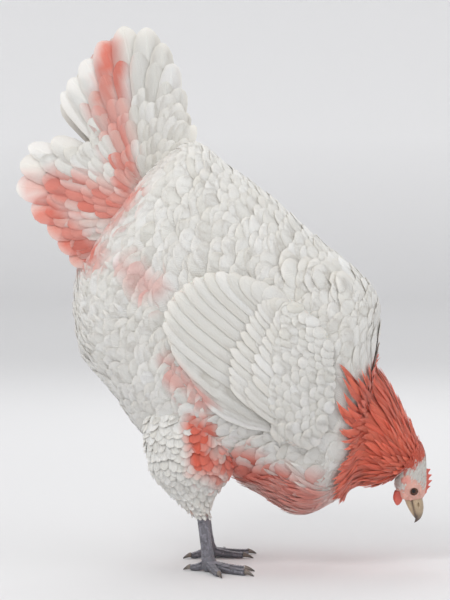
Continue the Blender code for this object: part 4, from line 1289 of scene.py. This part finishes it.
def wingCoat(name, side):
    draw = np.random.default_rng(61 if side > 0 else 62)

    def add(root, tip, half, lifts, bow, profile, lie=wingLie, over=False):
        return layOnFlank(root, tip, half, lifts, bow, profile, side, draw, lie, over)

    # four quills show past the lower edge, and fourteen fan out over them
    flight = []
    for k in range(4):
        root = np.array([np.array(wing["front"][0]) + (-18.0 + 5 * k, 6.0)])
        tip = np.array([np.array(wing["rear"][0]) + np.array((9.0, -14.0)) * (4 - k) * 0.75])
        flight.append(add(root, tip, 8.5, (1.6, 2.2), -6, broadVane))
    number = 14
    for k in range(number):
        share = np.array([k / (number - 1)])
        flight.append(add(onLine(wing["front"], share), onLine(wing["rear"], share), 9.5, (1.4, 3.6),
                          -7 * (1 - float(share[0])), broadVane))
    covers = []
    for count, reach, half, lifts in wingTiers:
        shares = (np.arange(count) + 0.3) / (count - 0.4)
        root, tip = onLine(wing["front"], shares), onLine(wing["rear"], shares)
        tip = root + (tip - root) * (reach * draw.uniform(0.95, 1.05, count))[:, None]
        covers.append(add(root, tip, half, lifts, 0.0, roundVane))
    # small coverts in rows over the smooth shoulder, thinning to scales at its front edge
    spotX, spotZ = np.meshgrid(np.arange(46, 104, 6.6), np.arange(116, 262, 7.4), indexing="ij")
    spotZ = spotZ + 3.7 * (np.arange(spotX.shape[0])[:, None] % 2)
    root = np.stack((spotX.ravel(), spotZ.ravel()), axis=1) + draw.normal(size=(spotX.size, 2)) * 0.7
    root = root[insidePolygon(root, np.array(wing["rim"])[:, :2])]
    lean = np.interp(root[:, 1], (120, 250), (1.08, -0.05))
    size = np.interp(root[:, 0], (46, 100), (19, 13)) * draw.uniform(0.9, 1.1, len(root))
    tip = root + np.stack((-np.cos(lean), np.sin(lean)), axis=1) * size[:, None]
    covers.append(add(root, tip, 5.6, (-0.6, 0.7), 0.0, roundVane, lesserLie, True))
    for label, parts, material in (("Flight_", flight, flightPlumage), ("Coverts_", covers, plumage)):
        vanes = gathered(parts)
        featherMesh("wing" + label + name, vanes, flankUv(vanes[0][:, 0, 2]), material, "wing_" + name)


def finishBase(base, node):
    # the closed body under the feathers of a wing or of the tail, with painted shade: a little darker than
    # they are, as if shaded by them
    points = meshPoints(base.data)
    # painted shade: the plumage colour darkened where the feathers lie over it
    setColour(base.data, "tint", plumageTint(points) * 0.9)
    setNumber(base.data, "horny", np.zeros(len(points)))
    finishPiece(base, (node,))


def wingBase(name, side):
    middle = np.array((30.0, 205.0))
    rings = []
    for share, lift in ((1.0, -3.5), (0.97, 0.6), (0.8, 1.0), (0.55, 1.0), (0.3, 1.0), (0.1, 1.0)):
        flat = middle + (wingOutline - middle) * share
        height = np.full(len(flat), lift)
        if share < 0.9:
            height = height + 0.6 * np.clip(pillow(flat[:, 0], flat[:, 1]), 0, 9) * (flat[:, 0] > 44)
        rings.append(list(drape(flat[:, 0], flat[:, 1], height, side)))
    finishBase(loftObject("wingBase_" + name, rings, skin), "wing_" + name)


for sideName, sideSign in sides.items():
    wingBase(sideName, sideSign)
    wingCoat(sideName, sideSign)
print("wings laid")


tail = {
    "root": (-62, 348), "start": 34,
    # direction of each feather in degrees, how far it reaches from the root, and its half width
    "feathers": ((73, 87, 10), (79.5, 108, 12), (84.5, 130, 13), (89, 149, 14), (94.5, 164, 15),
                 (102, 168, 16), (110, 160, 16), (118, 150, 16), (126, 142, 15), (132, 137, 11),
                 (151, 116, 12), (157.5, 133, 10.5), (165, 135, 15), (174.5, 134.5, 15.5),
                 (184.5, 124, 16), (195, 114, 15.5), (205.5, 109.5, 14.5), (216, 107.5, 12.5)),
    # coverts: start, length, number, half width and the first one's direction
    "tiers": ((62, 42, 22, 8.5, 76), (50, 40, 24, 8.0, 72), (38, 38, 26, 7.5, 68), (26, 36, 24, 7.0, 65),
              (14, 34, 18, 6.5, 64)),
    # the notch between the lobes: how far coverts may reach, by direction
    "notch": ((122, 134, 149, 158), (150, 90, 90, 150)),
    # soft filling: direction and reach of each row
    "filling": ((112, 76), (120, 84), (128, 90), (136, 94), (143, 96), (150, 98), (158, 102), (166, 106),
                (174, 107), (182, 104), (190, 100), (198, 98), (206, 96), (214, 95), (221, 92)),
    # the two faces part between these directions
    "from": 92, "to": 205, "half": 36, "fluff": 17,
}


def tent(degrees, radius):
    # how far the tail's faces stand from the middle plane
    share = (degrees - tail["from"]) / (tail["to"] - tail["from"])
    opened = np.sin(math.pi / 2 * np.clip(share, 0, 1)) ** 1.3
    fluff = np.clip(1 - radius / 95, 0, 1) ** 1.2
    ridge = np.interp(degrees, (80, 112), (0.9, 3.6))  # the two sides meet along the front edge
    spreading = tail["half"] * opened * np.minimum(1, 0.35 + radius / 160)
    return ridge + spreading + tail["fluff"] * (0.3 + opened) * fluff


def fanUv(vanes):
    # the roots on the tail's two faces opened like a book: out from the tail's root, and round the fan
    points = vanes[0][:, 0, 2]
    ahead, rise = points[:, 0] - tail["root"][0], points[:, 2] - tail["root"][1]
    across = 0.5 + np.sign(points[:, 1]) * (0.03 + 0.42 * np.clip(np.hypot(ahead, rise) / 170, 0, 1))
    around = (np.degrees(np.arctan2(rise, ahead)) % 360) / 240
    return np.stack((across, onMap(np.clip(around, 0, 1))), axis=1)


def fanPoint(degrees, radius, out):
    # a place in the tail by direction and distance from its root, and from the middle plane
    x, z = tail["root"]
    turn = np.radians(degrees)
    return np.stack((x + radius * np.cos(turn), out, z + radius * np.sin(turn)), axis=-1)


def layOnTail(degrees, stop, half, lifts, profile, side, draw, shingle, start=tail["start"], ragged=0.004):
    # vanes of one face of the tail, each along its own direction from the root
    def place(u, width, share, part, below):
        radius = start + (stop - start) * part
        across = u * half * width
        turn, reach = degrees + np.degrees(np.arctan2(across, radius)), np.hypot(radius, across)
        lift = lifts[0] + (lifts[1] - lifts[0]) * share + shingle / 2 * u * width - 0.2 * u * u
        out = tent(turn, reach) + lift - 0.6 * below
        return fanPoint(turn, reach, side * np.maximum(out, 0.1 if below else 0.6))

    return layVanes(place, len(degrees), profile, ragged, draw)


def tailCoat(name, side):
    draw = np.random.default_rng(71 if side > 0 else 72)
    degrees, stop, half = np.array(tail["feathers"], dtype=float).T
    stop = stop - 5.5 * ramp(degrees, 178, 10)
    half = half - 1.8 * (degrees < 90)
    parts = [layOnTail(degrees, stop - 0.6, half, (-1.5, 0.2), broadVane, side, draw, 2.6)]
    # narrower ones between them, none across the notch
    between = (degrees[1:] + degrees[:-1]) / 2
    chosen = np.abs(between - 140.5) > 2
    shorter = np.minimum(stop[1:], stop[:-1])[chosen] * draw.uniform(0.8, 0.93, chosen.sum())
    narrow = 0.7 * half[1:][chosen]
    parts.append(layOnTail(between[chosen], shorter, narrow, (-1.0, 0.9), broadVane, side, draw, 2.0))
    # and a flat layer inside the upper lobe
    inner = degrees < 150
    middle = layOnTail(degrees[inner] + 3, stop[inner] * 0.95, half[inner], (-0.4, 0.2), broadVane,
                       side, draw, 0.8)
    for points in middle:
        points[..., 1] *= 0.22
    vanes = gathered(parts + [middle])
    featherMesh("tailFlight_" + name, vanes, fanUv(vanes), flightPlumage, "tail")
    # coverts in tiers over the root of the fan
    parts = []
    for start, length, number, size, first in tail["tiers"]:
        turn = np.linspace(first, 220, number) + draw.normal(size=number) * 1.6
        reach = start + length * draw.uniform(0.85, 1.12, number)
        reach = np.minimum(reach, np.interp(turn, degrees, stop) * 0.9)
        reach = np.minimum(reach, np.interp(turn, *tail["notch"]))
        parts.append(layOnTail(turn, reach, size, (-0.6, 1.5), roundVane, side, draw, 1.0, start, 0.012))
    vanes = gathered(parts)
    featherMesh("tailCoverts_" + name, vanes, fanUv(vanes), plumage, "tail")


def underTail():
    # fluffy feathers across the hollow of the tail, facing down and back, in overlapping rows
    draw = np.random.default_rng(77)
    number, start, rows = 11, tail["start"], []
    for turn, reach in tail["filling"]:
        spots = np.linspace(-0.86, 0.86, number) + draw.normal(size=number) * 0.05
        rows.append((spots, turn + draw.normal(size=number) * 1.5,
                     reach * (1 - 0.18 * spots**2) * draw.uniform(0.9, 1.04, number) - start,
                     draw.uniform(5.0, 7.0, number)))
    out, degrees, length, half = gathered(rows)

    def place(u, width, share, part, below):
        radius = start + length * part
        turn = degrees + 4.0 * share**2 - 1.4 * u * u
        wide = tent(turn, radius) - 4.5
        return fanPoint(turn - 0.9 * below, radius, out * wide + u * half * width)

    vanes = layVanes(place, len(degrees), softVane, 0.03, draw)
    featherMesh("tailUnder", vanes, fanUv(vanes), down, "tail")


def tailBase():
    number = 30
    turns = np.concatenate((np.linspace(62, 222, number), np.linspace(222, 62, number)))
    sign = np.repeat((1.0, -1.0), number)
    rings = []
    for radius in (74.0, 60.0, 40.0, 20.0, 4.0):
        reach = np.full(2 * number, radius)
        rings.append(list(fanPoint(turns, reach, sign * np.maximum(tent(turns, reach) - 3.4, 0.2))))
    finishBase(loftObject("tailBase", rings, skin), "tail")


tailBase()
underTail()
for sideName, sideSign in sides.items():
    tailCoat(sideName, sideSign)
print("tail laid")


def eyeBall(name, side):
    centre = eyeCentre(side)
    ball = ellipsoid("eyeBall_" + name, centre, eye["radii"], headAxes(side), 56, 40, eyeWet)
    off = meshPoints(ball.data) - centre
    shiftLong, shiftUp = eye["opening"][0] - eye["at"][0], eye["opening"][1] - eye["at"][1]
    reach = np.hypot(off @ forward - shiftLong * 0.8, off @ crown - shiftUp)
    iris = np.where(off[:, 1] * side > 0, np.clip(reach / eye["irisReach"], 0, 1), 1.0)
    setNumber(ball.data, "iris", iris)
    finishPiece(ball, ("eye_" + name,))


bill = {
    "length": 23.3, "lowerShort": 4, "half": 6.9, "hook": 2.2,
    "root": 10.8,  # ahead of the eyes; the four heights are above them
    "culmen": 9.2, "gape": -1.6, "rise": 3.4, "chin": -7.0,
    "nostril": (6.0, 4.6), "nostrilRadii": (2.5, 0.9, 1.7),
}


def billHalf(name, upper):
    around, steps = 32, 26
    length = bill["length"] if upper else bill["length"] - bill["lowerShort"]
    rings = []
    for s in range(steps):
        share = (s / (steps - 1)) ** 0.9 * 0.985
        along = bill["root"] + length * share
        mouth = bill["gape"] + bill["rise"] * share * length / bill["length"]
        if upper:
            drop = bill["hook"] * max(0, (share - 0.8) / 0.2) ** 1.5
            bottom = mouth - 0.7 - drop
            top = mouth + (bill["culmen"] - bill["gape"]) * (1 - share**2.4) ** 0.8
            top = top - (0.6 + drop) * share**6
        else:
            top = mouth + 0.8
            bottom = mouth - 0.3 + (bill["chin"] - bill["gape"]) * (1 - share**1.8) ** 0.9 - 0.2
        half = max(0.45, bill["half"] * (1 if upper else 0.9) * (1 - share**1.6) ** 0.75)
        ring = []
        for c in range(around):
            angle = math.tau * (c + 0.5) / around
            rise, reach = math.sin(angle), math.cos(angle)
            flat = 0.3 if (rise < 0) == upper else 1.0
            height = (top + bottom) / 2 + (top - bottom) / 2 * math.copysign(abs(rise) ** flat, rise)
            narrower = 1 - 0.28 * max(0, rise if upper else -rise)
            ring.append(headPoint(along, height, half * reach * narrower))
        rings.append(ring)
    tipHeight = bill["gape"] + bill["rise"] * length / bill["length"]
    tipHeight = tipHeight - (0.65 + bill["hook"] if upper else 0.9)
    made = loftObject(name, rings, billHorn, (None, headPoint(bill["root"] + length, tipHeight)))
    if upper:
        along, up = bill["nostril"]
        for side in sides.values():
            spot = headPoint(bill["root"] + along, up, side * bill["half"] * 0.86)
            nostril = ellipsoid("nostril", spot, bill["nostrilRadii"], headAxes(side))
            boolean(made, nostril, "DIFFERENCE", "EXACT")
    along, up = fromEyes(meshPoints(made.data))
    mouth = bill["gape"] + bill["rise"] * (along - bill["root"]) / bill["length"]
    dark = np.clip(1.1 - np.abs(up - mouth) / 2.2, 0, 1) * 0.75 + ramp(along, 24, 10) * 0.8
    if upper:
        dark = dark + ramp(up + 0.35 * (along - 11), 4, 6) * 0.35
    setNumber(made.data, "dark", np.clip(dark, 0, 1))
    made.data.shade_smooth()
    finishPiece(made, ("bill_upper" if upper else "bill_lower",))


claw = {"length": 10.0, "hindLength": 8.0, "radius": 2.4, "high": 3.6, "fall": 3.2}


def clawMesh(toeName, sideName, angle, toeLength):
    ahead = toeDirection(sideName, angle)
    root = legPoint(sideName, legs["shankFoot"][0] + 1) + ahead * (toeLength + 0.1)
    length = claw["hindLength"] if toeName == "hind" else claw["length"]
    stations = []
    for share in np.linspace(0, 0.97, 16):
        radius = claw["radius"] * (1 - share) ** 0.75 + 0.22
        height = claw["high"] - claw["fall"] * share**1.5
        spot = root + ahead * length * share + (0, 0, max(height, radius))
        stations.append((spot, radius * 0.78, radius))
    made = tubeObject("clawHorn_" + toeName + "_" + sideName, stations, 18, 0.0)
    made.data.materials.append(clawHorn)
    setNumber(made.data, "dark", np.clip(((meshPoints(made.data) - root) @ ahead) / length, 0, 1))
    finishPiece(made, ("claw_" + toeName + "_" + sideName,))


for sideName, sideSign in sides.items():
    eyeBall(sideName, sideSign)
    for toe, toeAngle, toeLength in legs["toes"]:
        clawMesh(toe, sideName, toeAngle, toeLength)
billHalf("billUpper", True)
billHalf("billLower", False)
print("eyes, bill and claws made")


scales = {
    "seed": 81,
    # length, width and height of the broad plates in front, and of the small ones round the shank
    "plate": (3.7, 5.4, 2.6), "small": (3.1, 3.0, 1.9), "toeSide": (2.8, 2.4, 1.5),
    "rows": 13, "around": 10,
}


def scaleShape():
    # one scale, domed, 1 wide and 1 long, pointing along +X with its outside up
    points, faces = [], []
    for r, (x, half) in enumerate(((-0.5, 0.40), (-0.2, 0.5), (0.2, 0.5), (0.5, 0.36))):
        for u in (-1, -0.5, 0, 0.5, 1):
            dome = 1 - u * u
            points.append((x + 0.08 * dome * (r == 3), u * half, 0.16 * dome + 0.10 * (r == 3)))
    count = len(points)
    points += [(x, y, -0.25) for x, y, _ in points]
    for a in (r * 5 + c for r in range(3) for c in range(4)):
        faces.append([a, a + 5, a + 6, a + 1])
        faces.append([count + a, count + a + 1, count + a + 6, count + a + 5])
    rim = [0, 1, 2, 3, 4, 9, 14, 19, 18, 17, 16, 15, 10, 5]
    faces += [[a, b, count + b, count + a] for a, b in zip(rim, rim[1:] + rim[:1])]
    mesh = bpy.data.meshes.new("scaleShape")
    mesh.from_pydata(points, [], faces)
    return turnOutwards(bpy.data.objects.new("scaleShape", mesh))


def scaleTree():
    # sets the scale on every point, turned and sized by the points' own attributes
    tree = bpy.data.node_groups.new("setScales", "GeometryNodeTree")
    for label, kind in (("Points", "NodeSocketGeometry"), ("Scale", "NodeSocketObject"),
                        ("Finish", "NodeSocketMaterial"), ("Size", "NodeSocketFloat")):
        tree.interface.new_socket(label, in_out="INPUT", socket_type=kind)
    tree.interface.new_socket("Scales", in_out="OUTPUT", socket_type="NodeSocketGeometry")
    entry, leave = addNode(tree, "NodeGroupInput"), addNode(tree, "NodeGroupOutput")
    info, euler = addNode(tree, "GeometryNodeObjectInfo"), addNode(tree, "FunctionNodeEulerToRotation")
    turn = addNode(tree, "GeometryNodeInputNamedAttribute", data_type="FLOAT_VECTOR")
    size = addNode(tree, "GeometryNodeInputNamedAttribute", data_type="FLOAT_VECTOR")
    turn.inputs["Name"].default_value, size.inputs["Name"].default_value = "turn", "size"
    grow = addNode(tree, "ShaderNodeVectorMath", operation="SCALE")
    place = addNode(tree, "GeometryNodeInstanceOnPoints")
    real, paint = addNode(tree, "GeometryNodeRealizeInstances"), addNode(tree, "GeometryNodeSetMaterial")
    for source, output, target, entrance in (
        (entry, "Scale", info, "Object"), (entry, "Points", place, "Points"),
        (info, "Geometry", place, "Instance"), (turn, "Attribute", euler, "Euler"),
        (euler, "Rotation", place, "Rotation"), (size, "Attribute", grow, "Vector"),
        (entry, "Size", grow, "Scale"), (grow, "Vector", place, "Scale"),
        (place, "Instances", real, "Geometry"), (real, "Geometry", paint, "Geometry"),
        (entry, "Finish", paint, "Material"), (paint, "Geometry", leave, "Scales"),
    ):
        tree.links.new(source.outputs[output], target.inputs[entrance])
    return tree


def turnTo(ahead, out):
    # angles that turn +X to the way ahead and +Z to the way out
    x = Vector(ahead).normalized()
    z = (Vector(out) - Vector(out).dot(x) * x).normalized()
    y = z.cross(x)
    turn = Matrix(((x.x, y.x, z.x), (x.y, y.y, z.y), (x.z, y.z, z.z))).to_euler()
    return turn.x, turn.y, turn.z


def legScalePlaces(sideName):
    # place, angles and size of the plates down shank and toes, and of the small scales beside them
    top = legPoint(sideName, legs["shankTop"][0], legs["shankTop"][1] - 4)
    foot = legPoint(sideName, legs["shankFoot"][0], legs["shankFoot"][1] - 2)
    hub = legPoint(sideName, legs["shankFoot"][0] + 1)
    draw = np.random.default_rng(scales["seed"] + sides[sideName])
    down = (foot - top) / np.linalg.norm(foot - top)
    rows = []
    for share in np.linspace(0.03, 0.98, scales["rows"]):
        spot = top + (foot - top) * share
        radius = legs["shankRadius"] + 0.9 * max(0, share - 0.7) / 0.3
        for turn in (-0.5, 0.5):
            out = np.array((math.cos(turn), math.sin(turn) * 0.86, 0))
            shift = 1.2 if turn > 0 else 0
            rows.append((spot + out * radius + down * shift, turnTo(down, out), scales["plate"]))
        for k, turn in enumerate(np.linspace(1.1, math.tau - 1.1, scales["around"])):
            out = np.array((math.cos(turn), math.sin(turn) * 0.86, 0))
            shift = 1.3 * (k % 2) + draw.uniform(-0.2, 0.2)
            rows.append((spot + out * radius * 1.01 + down * shift, turnTo(down, out), scales["small"]))
    for _, angle, length in legs["toes"]:
        ahead = toeDirection(sideName, angle)
        aside = np.array((-ahead[1], ahead[0], 0))
        plates = max(5, round(length / 2.9))
        for k in range(plates):
            share = (k + 0.5) / plates
            radius = legs["toeRadius"] * (1 - legs["toeTaper"] * share)
            centre = hub + ahead * (4 + (length - 5) * share) + (0, 0, toeHeight(radius, share))
            slope = np.array((ahead[0], ahead[1], -2 * legs["toeRise"] * (1 - share) / length))
            plate = (3.7, radius * 1.75, 2.4)
            rows.append((centre + (0, 0, radius * 0.93), turnTo(slope, (0, 0, 1)), plate))
            for way in (-1, 1):
                out = aside * way + np.array((0, 0, 0.25))
                spot = centre + aside * way * radius * 0.9 + (0, 0, 0.6)
                rows.append((spot, turnTo(slope, out), scales["toeSide"]))
    return rows


def scaleCoat(sideName):
    rows = legScalePlaces(sideName)
    spots = np.array([row[0] for row in rows])
    points = meshObject("legScales_" + sideName, spots, [])
    setVector(points.data, "turn", [row[1] for row in rows])
    setVector(points.data, "size", [row[2] for row in rows])
    draw = np.random.default_rng(scales["seed"])
    shape, tree = scaleShape(), scaleTree()
    grown = points.modifiers.new("setScales", "NODES")
    grown.node_group = tree
    values = {"Scale": shape, "Finish": legScales, "Size": mm}
    for socket in tree.interface.items_tree:
        if socket.in_out == "INPUT" and socket.name in values:
            grown[socket.identifier] = values[socket.name]
    settle(points)
    bpy.data.objects.remove(shape)
    mesh = points.data
    each = len(mesh.vertices) // len(rows)
    tint = np.array(colours["legs"]) * draw.uniform(0.75, 1.45, (len(rows), 1))
    setColour(mesh, "tint", np.repeat(tint, each, axis=0))
    # the feet side by side on the map, seen from above
    roots = np.repeat(spots, each, axis=0)
    corner, beside = ((-60.0, 20.0), (0.0, 0.0)) if sideName == "left" else ((-60.0, -110.0), (0.4, 0.0))
    uv = ((roots[:, :2] - corner) / 140 + beside) * 0.4
    uv = np.clip(uv + 0.002 * (meshPoints(mesh) - roots)[:, :2] / 4, 0, 1)
    loops = np.empty(len(mesh.loops), dtype=int)
    mesh.loops.foreach_get("vertex_index", loops)
    mesh.uv_layers.new(name="OFBake").data.foreach_set("uv", uv[loops].ravel())
    mesh.shade_smooth()
    finishPiece(points, ("shank_" + sideName, "foot_" + sideName))


for sideName in sides:
    scaleCoat(sideName)
print("scales set")


studio = {
    "paper": (0.72, 0.72, 0.73),
    "wall": (0.93, 0.93, 0.94),
    "world": 0.88,
    "floorReach": 5.5, "wallTop": 2.6, "bend": 1.2,  # of the round backdrop, in metres
    "lights": (  # place, aimed at, size and watts
        ((-0.9, -1.9, 2.0), (0, 0, 0.22), 1.1, 24.0),
        ((1.7, -1.2, 1.1), (0, 0, 0.2), 1.2, 4.0),
        ((0.2, 1.8, 1.6), (0, 0, 0.3), 1.4, 9.0),
    ),
}


def paperMaterial():
    # the floor's grey going over to the wall's, with a faint grain
    paper, tree, shader = newMaterial("paper", {"Roughness": 0.9})
    place, axes = addNode(tree, "ShaderNodeTexCoord"), addNode(tree, "ShaderNodeSeparateXYZ")
    tree.links.new(place.outputs["Object"], axes.inputs["Vector"])
    rise = addNode(tree, "ShaderNodeMapRange")
    rise.inputs["From Max"].default_value = 0.5
    tree.links.new(axes.outputs["Z"], rise.inputs["Value"])
    tone = addNode(tree, "ShaderNodeMix", data_type="RGBA")
    setInputs(tone, {"A": (*studio["paper"], 1), "B": (*studio["wall"], 1)})
    tree.links.new(rise.outputs["Result"], tone.inputs["Factor"])
    paintWith(tree, shader, tone.outputs["Result"], objectNoise(tree, 60.0), 0.99, 1.0)
    return paper


def makeStage():
    reach, bend, around = studio["floorReach"], studio["bend"], 96
    profile = [(2.0, 0.0), (reach, 0.0)]
    profile += [(reach + bend * math.sin(a), bend - bend * math.cos(a))
                for a in np.linspace(0.1, math.pi / 2, 14)]
    profile.append((reach + bend, studio["wallTop"]))
    points = [(r * math.cos(math.tau * c / around), r * math.sin(math.tau * c / around), z)
              for r, z in profile for c in range(around)] + [(0.0, 0.0, 0.0)]
    faces = [[low + c, low + around + c, low + around + (c + 1) % around, low + (c + 1) % around]
             for low in range(0, (len(profile) - 1) * around, around) for c in range(around)]
    faces += [[c, (c + 1) % around, len(points) - 1] for c in range(around)]
    sweep = meshObject("sweep", np.array(points) / mm, faces, paperMaterial(), False)
    for k, (place, target, size, watts) in enumerate(studio["lights"]):
        data = bpy.data.lights.new("light" + str(k), "AREA")
        data.shape, data.size, data.energy = "DISK", size, watts
        lamp = addObject("light" + str(k), data)
        lamp.location = place
        lamp.rotation_euler = (Vector(target) - Vector(place)).to_track_quat("-Z", "Y").to_euler()
    world = bpy.data.worlds.new("studio")
    world.use_nodes = True
    setInputs(world.node_tree.nodes["Background"], {"Color": (1, 1, 1, 1), "Strength": studio["world"]})
    scene.world = world
    scene.view_settings.view_transform = "Standard"


makeStage()
bpy.context.view_layer.update()
